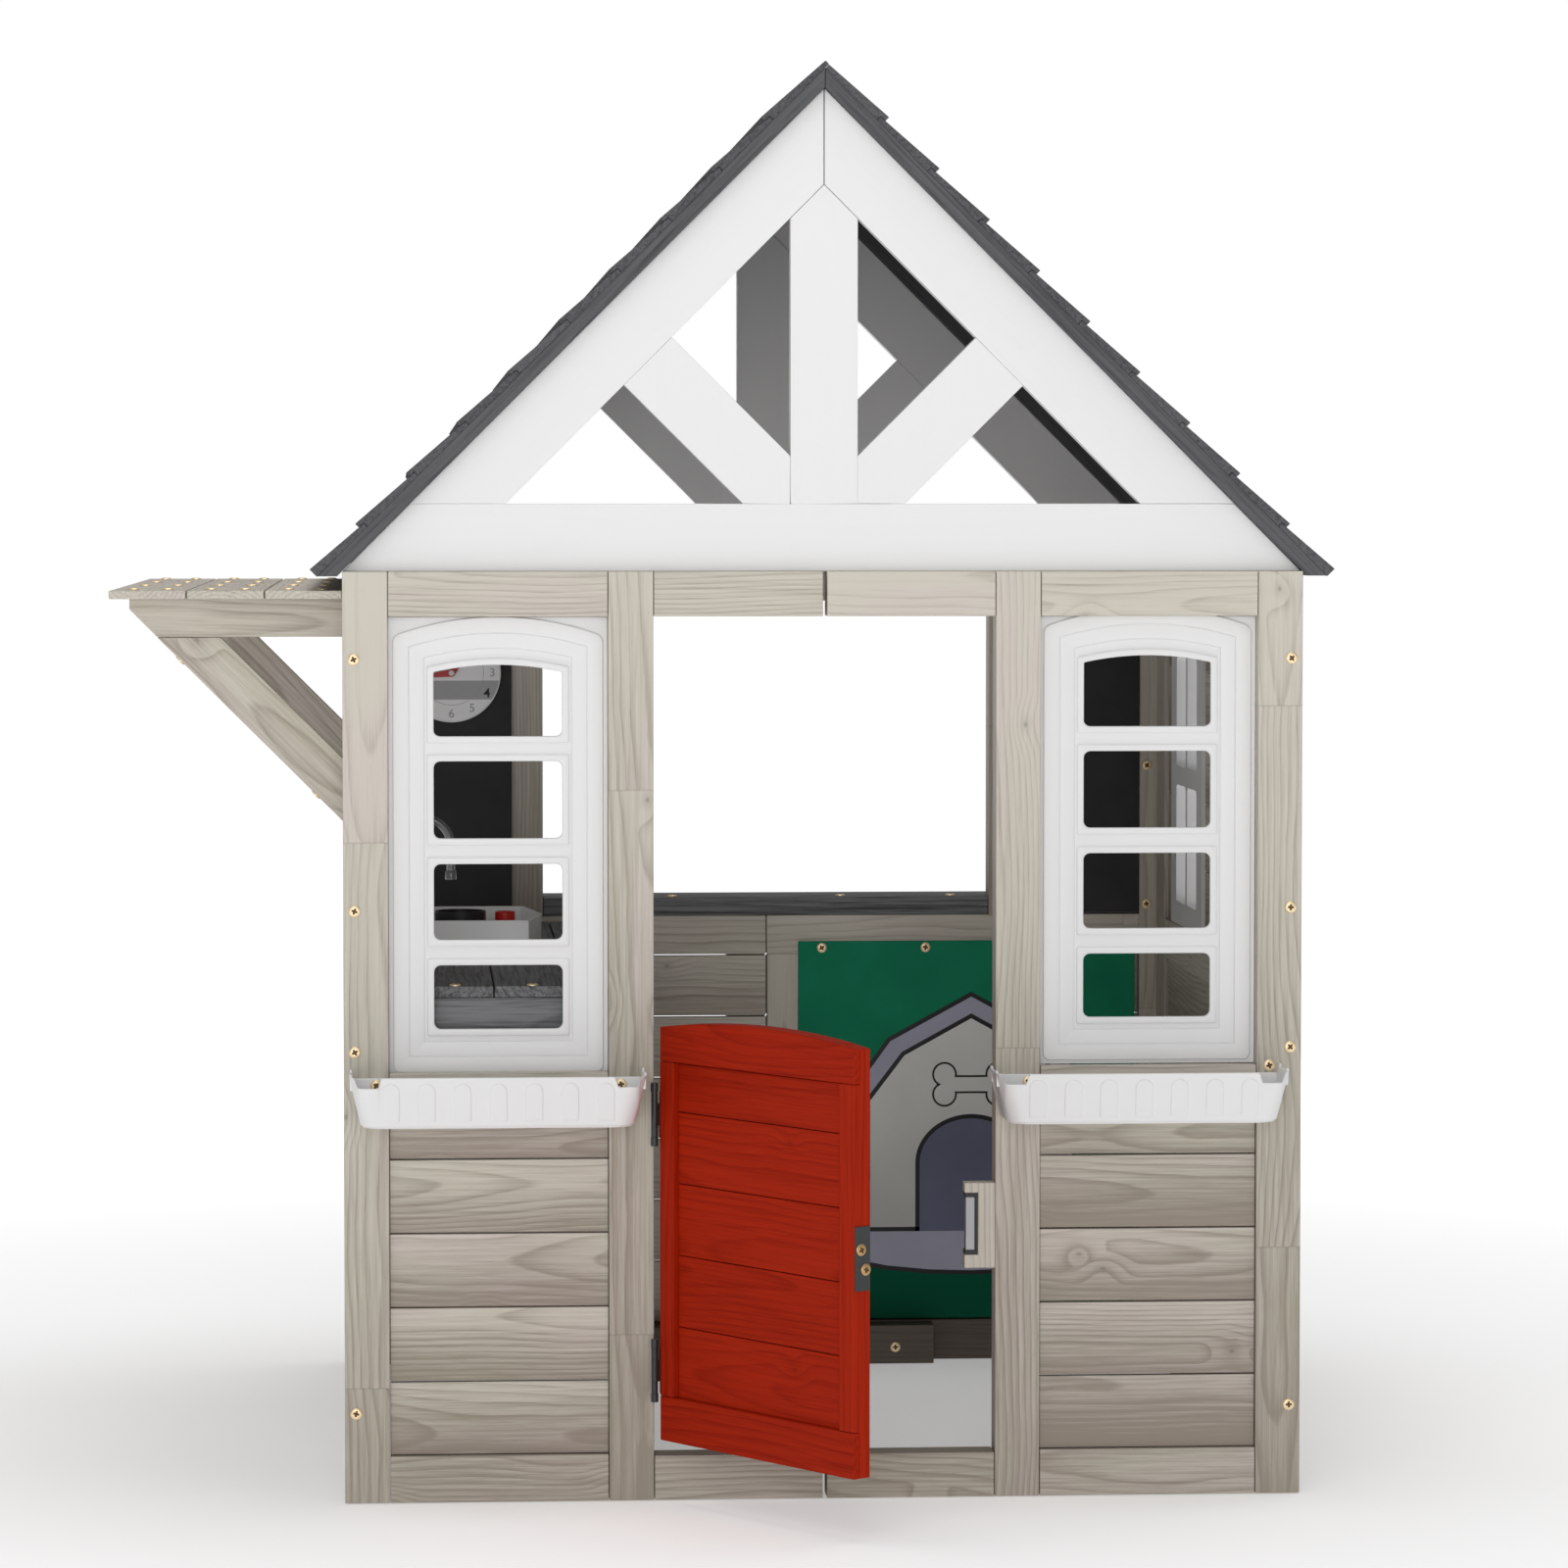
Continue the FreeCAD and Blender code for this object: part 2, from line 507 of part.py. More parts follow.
# ---------------------------------------------------------------- counter, sink and faucet
def counter(nodes):
    """Play counter along the left wall with a raised sink and a swivelling faucet."""
    under = COUNTER_TOP - BOARD
    nodes["counter_slats"] = [
        block((low, high - BOARD_GAP), COUNTER_Y, (under, COUNTER_TOP))
        for low, high in zip(COUNTER_EDGES, COUNTER_EDGES[1:])]
    middle = sum(COUNTER_Y) / 2
    ends = (COUNTER_EDGES[0], COUNTER_EDGES[-1] - BOARD_GAP)
    places = ((FRAME_DEPTH, FRAME_DEPTH + CLEAT[0]), (middle - CLEAT[0] / 2, middle + CLEAT[0] / 2),
              (DEPTH - FRAME_DEPTH - CLEAT[0], DEPTH - FRAME_DEPTH))
    nodes["counter_cleats"] = [block(ends, y, (under - CLEAT[1], under)) for y in places]

    outer = sink_outline(0.0)
    basin = prism_xy(outer, (COUNTER_TOP, SINK_TOP))
    hollow = prism_xy(sink_outline(SINK_WALL), (SINK_FLOOR, SINK_TOP + 1))
    nodes["sink_basin"] = [basin.cut(hollow)]

    x, y = FAUCET
    base = rod(10.0, (x, y, COUNTER_TOP), (0, 0, 1), 6.0).fuse(
        rod(7.5, (x, y, COUNTER_TOP + 6.0), (0, 0, 1), 12.0))
    socket = rod(FAUCET_TUBE + RUNNING, (x, y, COUNTER_TOP + 4.0), (0, 0, 1), 20.0)
    nodes["faucet_base"] = [base.cut(socket).removeSplitter()]
    upright = rod(FAUCET_TUBE, (x, y, COUNTER_TOP + 4.2), (0, 0, 1), FAUCET_BEND - COUNTER_TOP - 4.2)
    section = Part.Face(Part.Wire(Part.makeCircle(FAUCET_TUBE, V(x, y, FAUCET_BEND), V(0, 0, 1))))
    bend = section.revolve(V(x + FAUCET_ARC, y, FAUCET_BEND), V(0, 1, 0), 180)
    outlet = rod(FAUCET_TUBE, (x + 2 * FAUCET_ARC, y, FAUCET_BEND - 34.0), (0, 0, 1), 34.0)
    tip = rod(FAUCET_TUBE + 1.5, (x + 2 * FAUCET_ARC, y, FAUCET_BEND - 38.0), (0, 0, 1), 10.0)
    collar = rod(FAUCET_TUBE + 2.0, (x, y, COUNTER_TOP + 18.4), (0, 0, 1), 5.0)
    spout = upright.fuse([bend, outlet, tip, collar])
    nodes["faucet_spout"] = [spout.removeSplitter()]
    nodes["play_pan"] = [play_pan()]
    nodes["play_cup"] = [cup(SINK_CENTRE[0] + 32.0, SINK_CENTRE[1], 11.0, CUP_TOP)]


def sink_outline(inset):
    """Six-sided plan of the sink: straight front and back, ends that bulge out in the middle."""
    cx, cy = SINK_CENTRE
    narrow = SINK_SIZE[0] / 2 - inset
    wide = SINK_SIZE[1] / 2 - inset
    deep = SINK_SIZE[2] / 2 - inset
    return [(cx - narrow, cy - deep), (cx + narrow, cy - deep), (cx + wide, cy), (cx + narrow, cy + deep),
            (cx - narrow, cy + deep), (cx - wide, cy)]


def cup(x, y, radius, top):
    """Small open vessel standing on the floor of the sink."""
    wall = 2.0
    outer = rod(radius, (x, y, SINK_FLOOR), (0, 0, 1), top - SINK_FLOOR)
    return outer.cut(rod(radius - wall, (x, y, SINK_FLOOR + wall), (0, 0, 1), top - SINK_FLOOR))


def play_pan():
    """Toy saucepan with a flat handle, left in the sink."""
    x = SINK_CENTRE[0] - 17.0
    y = SINK_CENTRE[1]
    body = cup(x, y, PAN_RADIUS, PAN_TOP)
    handle = block((x - 5.0, x + 5.0), (y + PAN_RADIUS - 1.0, y + PAN_RADIUS + 42.0),
                   (PAN_TOP - 8.0, PAN_TOP - 3.0))
    return body.fuse(handle).removeSplitter()


# ---------------------------------------------------------------- door
def swing(shape):
    """Turn a piece of the closed door about the hinge pin into the open rest position."""
    turned = shape.copy()
    turned.rotate(V(PIN[0], PIN[1], 0), V(0, 0, 1), -DOOR_OPEN)
    return turned


def door(nodes):
    """Half door of lapped stiles and rails around recessed boards, built shut and swung open."""
    left = PIN[0] + LEAF + 1.1
    right = left + DOOR_WIDTH
    y = (0.0, DOOR_THICK)
    middle = (left + right) / 2
    outline = arched_face(DOOR_WIDTH, DOOR_SIDE_TOP - DOOR_FOOT, DOOR_RISE, 0.0, middle, DOOR_FOOT)
    blank = outline.extrude(V(0, DOOR_THICK, 0))
    low_lap = DOOR_FOOT + DOOR_RAILS[0]
    top_lap = DOOR_SIDE_TOP - DOOR_RAILS[1]
    lap_low = block((left - 5, right + 5), (-5, DOOR_LAP), (DOOR_FOOT - 5, low_lap))
    lap_top = block((left - 5, right + 5), (-5, DOOR_LAP), (top_lap, DOOR_SIDE_TOP + 40))
    stiles = []
    for x in ((left, left + DOOR_STILE), (right - DOOR_STILE, right)):
        post = blank.common(block(x, y, (0, WALL_HEIGHT)))
        stiles.append(swing(post.cut(lap_low).cut(lap_top)))
    nodes["door_stiles"] = stiles

    between = (left + DOOR_STILE + 0.2, right - DOOR_STILE - 0.2)
    rails = []
    for zone, lap in (((DOOR_FOOT, low_lap), lap_low), ((top_lap, DOOR_SIDE_TOP + 40), lap_top)):
        front = blank.common(lap)
        core = blank.common(block(between, (DOOR_LAP, DOOR_THICK), zone))
        rails.append(swing(front.fuse(core).removeSplitter()))
    nodes["door_rails"] = rails

    panel_y = (DOOR_LAP - 2.0, DOOR_LAP + 8.0)
    panel = boards(low_lap + 0.3, top_lap, DOOR_PITCH, lambda z: block(between, panel_y, z))
    nodes["door_boards"] = [swing(s) for s in panel]

    # strike plate let in flush round the free end, with two screws set on a slant
    plate = block((right, right + LEAF), (1.0, DOOR_THICK - 1.0), (249.5, 313.5))
    nodes["door_strike_plate"] = [swing(plate)]
    heads = [screw((right + LEAF, 8.0, 290.5), (-1, 0, 0), 18.0),
             screw((right + LEAF, 14.0, 270.5), (-1, 0, 0), 18.0)]
    nodes["door_screws"] = [swing(s.common(block((right - 30, right + 4), (0, DOOR_THICK), (235, 325))))
                            for s in heads]
    hinges(nodes, left)
    catch(nodes)


def hinges(nodes, door_edge):
    """Two butt hinges: jamb leaves, door leaves and headed pins."""
    jamb = []
    moving = []
    pins = []
    middle_share = 0.5
    for low, high in HINGE_SPANS:
        tall = high - low
        end = tall * (1 - middle_share) / 2
        knuckles = ((low, low + end), (high - end, high))
        leaf = block((-DOORWAY, -DOORWAY + LEAF), (PIN[1], 24.0), (low, high))
        slot = block((-DOORWAY - 5, -DOORWAY + 5), (PIN[1] - 6, 0.3), (low + end - 0.2, high - end + 0.2))
        part = leaf.cut(slot)
        for z in knuckles:
            part = part.fuse(rod(BARREL_RADIUS, (PIN[0], PIN[1], z[0]), (0, 0, 1), z[1] - z[0]))
        bore = rod(PIN_RADIUS, (PIN[0], PIN[1], low - 1), (0, 0, 1), tall + 2)
        jamb.append(part.cut(bore).removeSplitter())

        inner = (low + end + 0.2, high - end - 0.2)
        plate = block((door_edge - LEAF, door_edge), (PIN[1] + 1.0, DOOR_THICK), (low, high))
        plate = plate.cut(block((door_edge - 10, door_edge + 10), (PIN[1] - 1, 0.6), (low - 1, inner[0])))
        plate = plate.cut(block((door_edge - 10, door_edge + 10), (PIN[1] - 1, 0.6), (inner[1], high + 1)))
        barrel = rod(BARREL_RADIUS, (PIN[0], PIN[1], inner[0]), (0, 0, 1), inner[1] - inner[0])
        bore = rod(PIN_RADIUS + RUNNING, (PIN[0], PIN[1], low - 1), (0, 0, 1), tall + 2)
        moving.append(swing(plate.fuse(barrel).cut(bore).removeSplitter()))

        pin = rod(PIN_RADIUS, (PIN[0], PIN[1], low), (0, 0, 1), tall)
        heads = [rod(CAP_RADIUS, (PIN[0], PIN[1], z), (0, 0, 1), HINGE_CAP)
                 for z in (low - HINGE_CAP, high)]
        pins.append(pin.fuse(heads).removeSplitter())
    nodes["jamb_hinge_leaves"] = jamb
    nodes["door_hinge_leaves"] = moving
    nodes["hinge_pins"] = pins


def catch(nodes):
    """Wooden block on the right jamb with a magnet catch in its notch."""
    low, high = CATCH_Z
    notch_low, notch_high, notch_deep = CATCH_NOTCH
    face = DOORWAY - CATCH_REACH
    body = block((face, DOORWAY), (0.0, 20.0), (low, high))
    notch = block((face - 1, face + notch_deep), (-1.0, 21.0), (notch_low, notch_high))
    nodes["catch_block"] = [body.cut(notch)]
    case_x = (face + 0.5, face + notch_deep)
    caps = [block(case_x, (0.5, 19.5), (notch_low, notch_low + 5)),
            block(case_x, (0.5, 19.5), (notch_high - 5, notch_high)),
            block((face + notch_deep - 3, face + notch_deep), (0.5, 19.5), (notch_low + 5, notch_high - 5))]
    nodes["magnet_catch_case"] = [caps[0].fuse(caps[1:]).removeSplitter()]
    nodes["catch_magnet"] = [block((face + 1.5, face + notch_deep - 3), (2.0, 18.0),
                                   (notch_low + 5, notch_high - 5))]


# ---------------------------------------------------------------- clock
def clock(nodes):
    """Play clock on the left chalkboard: dial, headed pin and two hands that turn by hand."""
    x, z, radius = CLOCK
    face = DEPTH - FRAME_DEPTH - 4.0
    nodes["clock_dial"] = [rod(radius, (x, face, z), (0, -1, 0), 4.0)]
    front = face - 4.0
    pin = rod(CLOCK_PIN, (x, front, z), (0, -1, 0), 4.6)
    head = rod(CLOCK_PIN + 1.3, (x, front - 4.6, z), (0, -1, 0), 1.6)
    nodes["clock_pin"] = [pin.fuse(head).removeSplitter()]
    for name, reach, angle, lift in (("hour", 32.0, 50.0, 0.4), ("minute", 42.0, 186.5, 2.6)):
        y = (front - lift - 1.6, front - lift)
        hub = rod(HAND_HUB, (x, y[0], z), (0, 1, 0), 1.6)
        wide = HAND_HUB - 0.3
        blade = prism_xz([(x, z - wide), (x + reach, z - 1.2), (x + reach, z + 1.2), (x, z + wide)], y)
        hand = hub.fuse(blade).removeSplitter()
        hand = hand.cut(rod(CLOCK_PIN + RUNNING, (x, y[0] - 1, z), (0, 1, 0), 4.0))
        hand.rotate(V(x, 0, z), V(0, -1, 0), angle)
        nodes["clock_%s_hand" % name] = [hand]


# ---------------------------------------------------------------- screws
def screws(nodes):
    """Wood screws that stand on the visible faces."""
    into = (0, 1, 0)
    wall = []
    for side in (-1, 1):
        for z in (865.5, 608.5, 464.0, 92.5):
            wall.append(screw((side * 481.5, 0, z), into, 60.0))
        for z in (712.0, 546.0):
            wall.append(screw((side * 456.0, DEPTH - FRAME_DEPTH, z), into))
    # three hold the planters' back plates, the fourth stands on the post above the right planter
    plate = -PLANTER_WALL - PLANTER_CLEARANCE
    wall += [screw((x, plate, 430.0), into) for x in (-459.8, -209.7, 209.7)]
    wall.append(screw((459.8, 0, 445.0), into))
    nodes["wall_screws"] = wall

    down = (0, 0, -1)
    wall_face = -(SIDE_INNER + SIDE_THICK)
    top = []
    for y in ARM_Y:
        for k in range(AWNING_SLATS):
            for share in (0.28, 0.72):
                x = -AWNING_REACH + SLAT_PITCH * (k + share)
                top.append(screw((x, y + ARM_THICK / 2, AWNING_TOP), down, 30.0))
    slope = (1 / ROOT2, 0, 1 / ROOT2)
    edge = BRACE_FOOT + wall_face
    for y in (ARM_Y[0], ARM_Y[-1]):
        for x in (-660.0, -521.0):
            top.append(screw((x, y + ARM_THICK / 2, edge - x), slope, 55.0))
    nodes["awning_screws"] = top

    fittings = [screw((x, DEPTH - 14.0, SHELF[1]), down) for x in (-222.0, -111.0, 90.0, 222.0)]
    panel = DEPTH - FRAME_DEPTH - 5.0
    fittings += [screw((x, panel, z), into, 16.0) for x in (66.0, 190.0, 314.0) for z in (495.5,)]
    fittings += [screw((x, panel, 58.0), into, 16.0) for x in (66.0, 314.0)]
    fittings.append(screw((152.0, DEPTH - FRAME_DEPTH - BATTEN_STEP, 20.0), into, 48.0))
    for low, high in zip(COUNTER_EDGES, COUNTER_EDGES[1:]):
        for y in (COUNTER_Y[0] + 8.0, COUNTER_Y[1] - 8.0):
            fittings.append(screw(((low + high - BOARD_GAP) / 2, y, COUNTER_TOP), down))
    nodes["fitting_screws"] = fittings


# ---------------------------------------------------------------- assembly
def origin_shift(nodes):
    """Move from the house frame to the bottom centre of the whole part's box."""
    box = FreeCAD.BoundBox()
    for solids in nodes.values():
        for solid in solids:
            box.add(solid.BoundBox)
    return V(-box.Center.x, -box.Center.y, 0)


def build():
    """All nodes by name, in the part's own frame."""
    nodes = {}
    front_wall(nodes)
    side_walls(nodes)
    back_wall(nodes)
    gable(nodes, "front", GABLE_SETBACK)
    gable(nodes, "back", DEPTH - GABLE_SETBACK - GABLE_THICK)
    roof(nodes)
    awning(nodes)
    counter(nodes)
    door(nodes)
    clock(nodes)
    screws(nodes)
    shift = origin_shift(nodes)
    for solids in nodes.values():
        for solid in solids:
            solid.translate(shift)
    return nodes, shift


def main():
    """Write one STEP file per node and print a short summary."""
    nodes, shift = build()
    for name, solids in nodes.items():
        shape = solids[0] if len(solids) == 1 else Part.makeCompound(solids)
        bad = [k for k, s in enumerate(solids) if not s.isValid() or len(s.Solids) != 1]
        if bad:
            print("CHECK", name, bad)
        shape.exportStep("parts/%s.step" % name)
    print(len(nodes), "nodes, shift", round(shift.x, 3), round(shift.y, 3))


main()
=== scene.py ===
"""Dresses the wooden cottage playhouse around its fixed frame.

Boards keep the sizes of the frame and get their own grain, moulded pieces are built anew, and a plain
studio with a camera stands around them. Lengths are in metres; sizes written with MM are millimetres.
"""
import json
import logging
import math
from dataclasses import dataclass, field
from enum import Enum

import bmesh
import bpy
import numpy as np
from mathutils import Matrix, Vector

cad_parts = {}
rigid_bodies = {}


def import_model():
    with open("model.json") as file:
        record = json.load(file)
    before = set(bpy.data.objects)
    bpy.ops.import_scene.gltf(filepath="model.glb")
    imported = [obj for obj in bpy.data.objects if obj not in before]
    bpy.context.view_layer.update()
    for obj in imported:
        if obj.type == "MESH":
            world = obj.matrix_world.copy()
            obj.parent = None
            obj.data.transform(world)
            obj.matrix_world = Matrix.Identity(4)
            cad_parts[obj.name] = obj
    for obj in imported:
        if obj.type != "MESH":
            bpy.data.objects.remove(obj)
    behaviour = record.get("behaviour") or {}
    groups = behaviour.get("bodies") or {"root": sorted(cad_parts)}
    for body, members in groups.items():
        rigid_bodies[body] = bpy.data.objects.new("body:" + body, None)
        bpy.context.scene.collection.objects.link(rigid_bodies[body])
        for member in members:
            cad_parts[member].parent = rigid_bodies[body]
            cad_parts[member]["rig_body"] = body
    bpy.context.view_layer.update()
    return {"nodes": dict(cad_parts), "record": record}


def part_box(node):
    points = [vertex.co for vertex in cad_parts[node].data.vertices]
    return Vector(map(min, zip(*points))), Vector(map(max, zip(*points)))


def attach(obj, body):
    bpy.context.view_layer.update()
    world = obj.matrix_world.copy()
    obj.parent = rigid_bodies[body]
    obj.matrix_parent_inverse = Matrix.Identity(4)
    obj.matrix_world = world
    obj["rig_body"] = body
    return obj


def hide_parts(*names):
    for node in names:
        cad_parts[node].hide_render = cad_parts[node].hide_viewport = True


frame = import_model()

log = logging.getLogger("playhouse")
logging.basicConfig(level=logging.INFO, format="%(name)s: %(message)s")

MM = 0.001
TAU = 2.0 * math.pi
Colour = tuple[float, float, float]


def smooth(low: float, high: float, value: np.ndarray) -> np.ndarray:
    """Cubic step from 0 at low to 1 at high."""
    t = np.clip((value - low) / (high - low), 0.0, 1.0)
    return t * t * (3.0 - 2.0 * t)


# ------------------------------------------------------------------ shader graph
class Wire:
    """A node's output socket that takes part in ordinary arithmetic."""

    def __init__(self, graph: "Graph", socket: bpy.types.NodeSocket) -> None:
        """Wrap one socket of a graph."""
        self.graph = graph
        self.socket = socket

    def math(self, operation: str, *others: "Wire | float") -> "Wire":
        """Math node with this value first and the others after it."""
        inputs = {0: self, **dict(enumerate(others, 1))}
        return self.graph.add("ShaderNodeMath", {"operation": operation}, inputs)

    def __add__(self, other: "Wire | float") -> "Wire":
        """Sum."""
        return self.math("ADD", other)

    __radd__ = __add__

    def __mul__(self, other: "Wire | float") -> "Wire":
        """Product."""
        return self.math("MULTIPLY", other)

    __rmul__ = __mul__

    def __sub__(self, other: "Wire | float") -> "Wire":
        """Difference."""
        return self.math("SUBTRACT", other)

    def __rsub__(self, other: float) -> "Wire":
        """A number less this value."""
        return self.graph.add("ShaderNodeMath", {"operation": "SUBTRACT"}, {0: other, 1: self})

    def __truediv__(self, other: "Wire | float") -> "Wire":
        """Quotient."""
        return self.math("DIVIDE", other)

    def __pow__(self, other: float) -> "Wire":
        """Power."""
        return self.math("POWER", other)

    def step(self, low: float, high: float) -> "Wire":
        """Smooth step from 0 at low to 1 at high, either way round."""
        swap = low > high
        ends = {1: min(low, high), 2: max(low, high), 3: float(swap), 4: float(not swap)}
        return self.graph.add("ShaderNodeMapRange", {"interpolation_type": "SMOOTHSTEP"}, {0: self, **ends})


class Graph:
    """One material's node tree with a Principled shader at its end."""

    PREFIX = "look_"

    def __init__(self, name: str) -> None:
        """Start a material that holds only the shader and the output."""
        self.material = bpy.data.materials.new(self.PREFIX + name)
        self.material.use_nodes = True
        self.tree = self.material.node_tree
        self.shader = self.tree.nodes["Principled BSDF"]

    def add(self, kind: str, settings: dict | None = None, inputs: dict | None = None,
            output: int | str = 0) -> Wire:
        """Add any node.

        Args:
            kind: the node's type name.
            settings: properties set first; "stops" fills a colour ramp with (place, colour) pairs.
            inputs: socket names or numbers with wires or plain values.
            output: which output the wire stands for.

        Returns:
            The chosen output as a wire.
        """
        node = self.tree.nodes.new(kind)
        for key, value in (settings or {}).items():
            if key == "stops":
                self._fill_ramp(node.color_ramp, value)
            else:
                setattr(node, key, value)
        for key, value in (inputs or {}).items():
            self.connect(node.inputs[key], value)
        return Wire(self, node.outputs[output])

    def connect(self, socket: bpy.types.NodeSocket, value: "Wire | float | tuple") -> None:
        """Link a wire to a socket, or set the socket's own value."""
        if isinstance(value, Wire):
            self.tree.links.new(value.socket, socket)
        else:
            socket.default_value = value

    def set(self, **values: "Wire | float | tuple") -> None:
        """Give the shader its inputs; an underscore in a name stands for a space."""
        for key, value in values.items():
            name = key.replace("_", " ")
            if isinstance(value, tuple):
                value = (*value, 1.0)[:4] if name in ("Base Color", "Emission Color") else value
            self.connect(self.shader.inputs[name], value)

    def noise(self, vector: Wire, scale: float, detail: float = 2.0, roughness: float = 0.5,
              distortion: float = 0.0) -> Wire:
        """Noise between 0 and 1."""
        return self.add("ShaderNodeTexNoise", None, {"Vector": vector, "Scale": scale, "Detail": detail,
                                                     "Roughness": roughness, "Distortion": distortion})

    def stretch(self, vector: Wire, scale: tuple[float, float, float]) -> Wire:
        """Vector times three factors."""
        return self.add("ShaderNodeVectorMath", {"operation": "MULTIPLY"}, {0: vector, 1: scale})

    def mix(self, factor: Wire | float, first: "Wire | Colour", second: "Wire | Colour") -> Wire:
        """Colour between first and second."""
        ends = [c if isinstance(c, Wire) else (*c, 1.0) for c in (first, second)]
        return self.add("ShaderNodeMix", {"data_type": "RGBA"}, {0: factor, 6: ends[0], 7: ends[1]}, 2)

    def bump(self, height: Wire, distance: float, strength: float = 1.0) -> Wire:
        """Surface normal bent by a height that runs from 0 to 1 over the given distance."""
        return self.add("ShaderNodeBump", None, {"Height": height, "Distance": distance, "Strength": strength})

    @staticmethod
    def _fill_ramp(ramp: bpy.types.ColorRamp, stops: list[tuple[float, Colour]]) -> None:
        """Put the stops of a colour ramp in place."""
        while len(ramp.elements) < len(stops):
            ramp.elements.new(1.0)
        for element, (place, colour) in zip(ramp.elements, stops):
            element.position = place
            element.color = (*colour, 1.0)


@dataclass(frozen=True)
class Wood:
    """Stained or painted board with growth rings, fibres and a few knots.

    Reads the attribute GRAIN, a place in the log with X along the fibres, and TINT, which darkens the wood: a
    chance number a board, plus painted shade towards the ground and a slope along each board.
    """

    name: str
    light: Colour
    dark: Colour
    ring: float = 7.0 * MM
    figure: float = 0.75
    fibres: float = 0.45
    knots: float = 0.55
    spread: float = 0.16
    cloud: float = 0.35
    hue: float = 0.0
    joint: float = 0.0
    roughness: float = 0.62
    relief: float = 0.12 * MM
    gloss: float = 0.25

    GRAIN = "grain"
    TINT = "tint"

    def material(self) -> bpy.types.Material:
        """Make the wood's material."""
        graph = Graph(self.name)
        grain = graph.add("ShaderNodeAttribute", {"attribute_name": self.GRAIN}, None, "Vector")
        tint = graph.add("ShaderNodeAttribute", {"attribute_name": self.TINT}, None, "Fac")
        seam = None
        if self.joint:
            grain, tint, seam = self._joints(graph, grain, tint)
        knot, around = self._knots(graph, grain)
        rings = self._rings(graph, grain, around)
        coarse = graph.noise(graph.stretch(grain, (3.5, 110.0, 110.0)), 1.0, 3.0, 0.55)
        middle = graph.noise(graph.stretch(grain, (8.0, 360.0, 360.0)), 1.0, 2.0, 0.55)
        fine = graph.noise(graph.stretch(grain, (22.0, 900.0, 900.0)), 1.0, 2.0, 0.6)
        pores = graph.noise(graph.stretch(grain, (70.0, 1500.0, 1500.0)), 1.0, 1.0, 0.5).step(0.60, 0.76)
        cloud = graph.noise(graph.stretch(grain, (3.0, 11.0, 11.0)), 1.0, 3.0, 0.5)
        threads = (coarse - 0.5) * 0.7 + (middle - 0.5) * 1.9 + (fine - 0.5) * 1.3
        depth = rings * self.figure + threads * self.fibres
        depth = depth + (cloud - 0.5) * self.cloud + (tint - 0.5) * self.spread * 2.0 + pores * 0.10
        base = graph.mix((depth + 0.25).step(-0.1, 1.1), self.light, self.dark)
        if self.hue:
            patch = graph.noise(graph.stretch(grain, (4.0, 16.0, 16.0)), 1.0, 2.0, 0.5).step(0.3, 0.7)
            shift = graph.mix(patch, (1.0 + self.hue, 1.0 - self.hue, 1.0),
                              (1.0 - self.hue, 1.0 + self.hue, 0.97))
            base = graph.add("ShaderNodeMix", {"data_type": "RGBA", "blend_type": "MULTIPLY"},
                             {0: 1.0, 6: base, 7: shift}, 2)
        deep = tuple(c * 0.5 for c in self.dark)
        base = graph.mix(knot * self.knots, base, deep)
        height = (fine * 0.3 + middle * 0.4 + coarse * 0.2 - rings * 0.3 - pores * 0.5 - knot * 0.4)
        if seam:
            base = graph.mix(seam * 0.22, base, deep)
            height = height - seam * 0.8
        rough = (rings * 0.08 + fine * 0.12 + (self.roughness - 0.1))
        graph.set(Base_Color=base, Roughness=rough, Normal=graph.bump(height, self.relief))
        graph.set(Specular_IOR_Level=self.gloss)
        return graph.material

    def _joints(self, graph: Graph, grain: Wire, tint: Wire) -> tuple[Wire, Wire, Wire]:
        """Glued finger joints: each length of the board comes from another place in another log."""
        along = graph.add("ShaderNodeSeparateXYZ", None, {0: grain}, 0) / self.joint
        length = along.math("FLOOR")
        chance = {"W": length}
        shift = graph.add("ShaderNodeTexWhiteNoise", {"noise_dimensions": "1D"}, chance, "Color")
        shift = graph.stretch(shift, (3.0, 0.05, 0.02))
        moved = graph.add("ShaderNodeVectorMath", {"operation": "ADD"}, {0: grain, 1: shift})
        tone = graph.add("ShaderNodeTexWhiteNoise", {"noise_dimensions": "1D"}, chance, "Value")
        place = along.math("FRACT")
        seam = place.step(0.0020, 0.0008) + place.step(0.9980, 0.9992)
        return moved, tint + (tone - 0.5) * 0.25, seam

    def _knots(self, graph: Graph, grain: Wire) -> tuple[Wire, Wire]:
        """Spots a few millimetres across, and the swelling of the grain around them."""
        flat = graph.stretch(grain, (1.0, 1.6, 0.0))
        settings = {"voronoi_dimensions": "2D", "feature": "F1"}
        cell = {"Vector": flat, "Scale": 4.2, "Randomness": 1.0}
        away = graph.add("ShaderNodeTexVoronoi", settings, cell, "Distance") / 4.2
        chance = graph.add("ShaderNodeTexVoronoi", settings, cell, "Color")
        kept = graph.add("ShaderNodeSeparateColor", None, {0: chance}, 0).step(0.66, 0.70)
        wobble = graph.noise(grain, 220.0, 2.0) * (3.0 * MM)
        edge = away + wobble
        spot = edge.step(5.6 * MM, 3.0 * MM) * kept
        halo = edge.step(16.0 * MM, 3.0 * MM) * kept * 0.30
        return spot * 0.6 + halo, away.step(40.0 * MM, 2.0 * MM) * kept

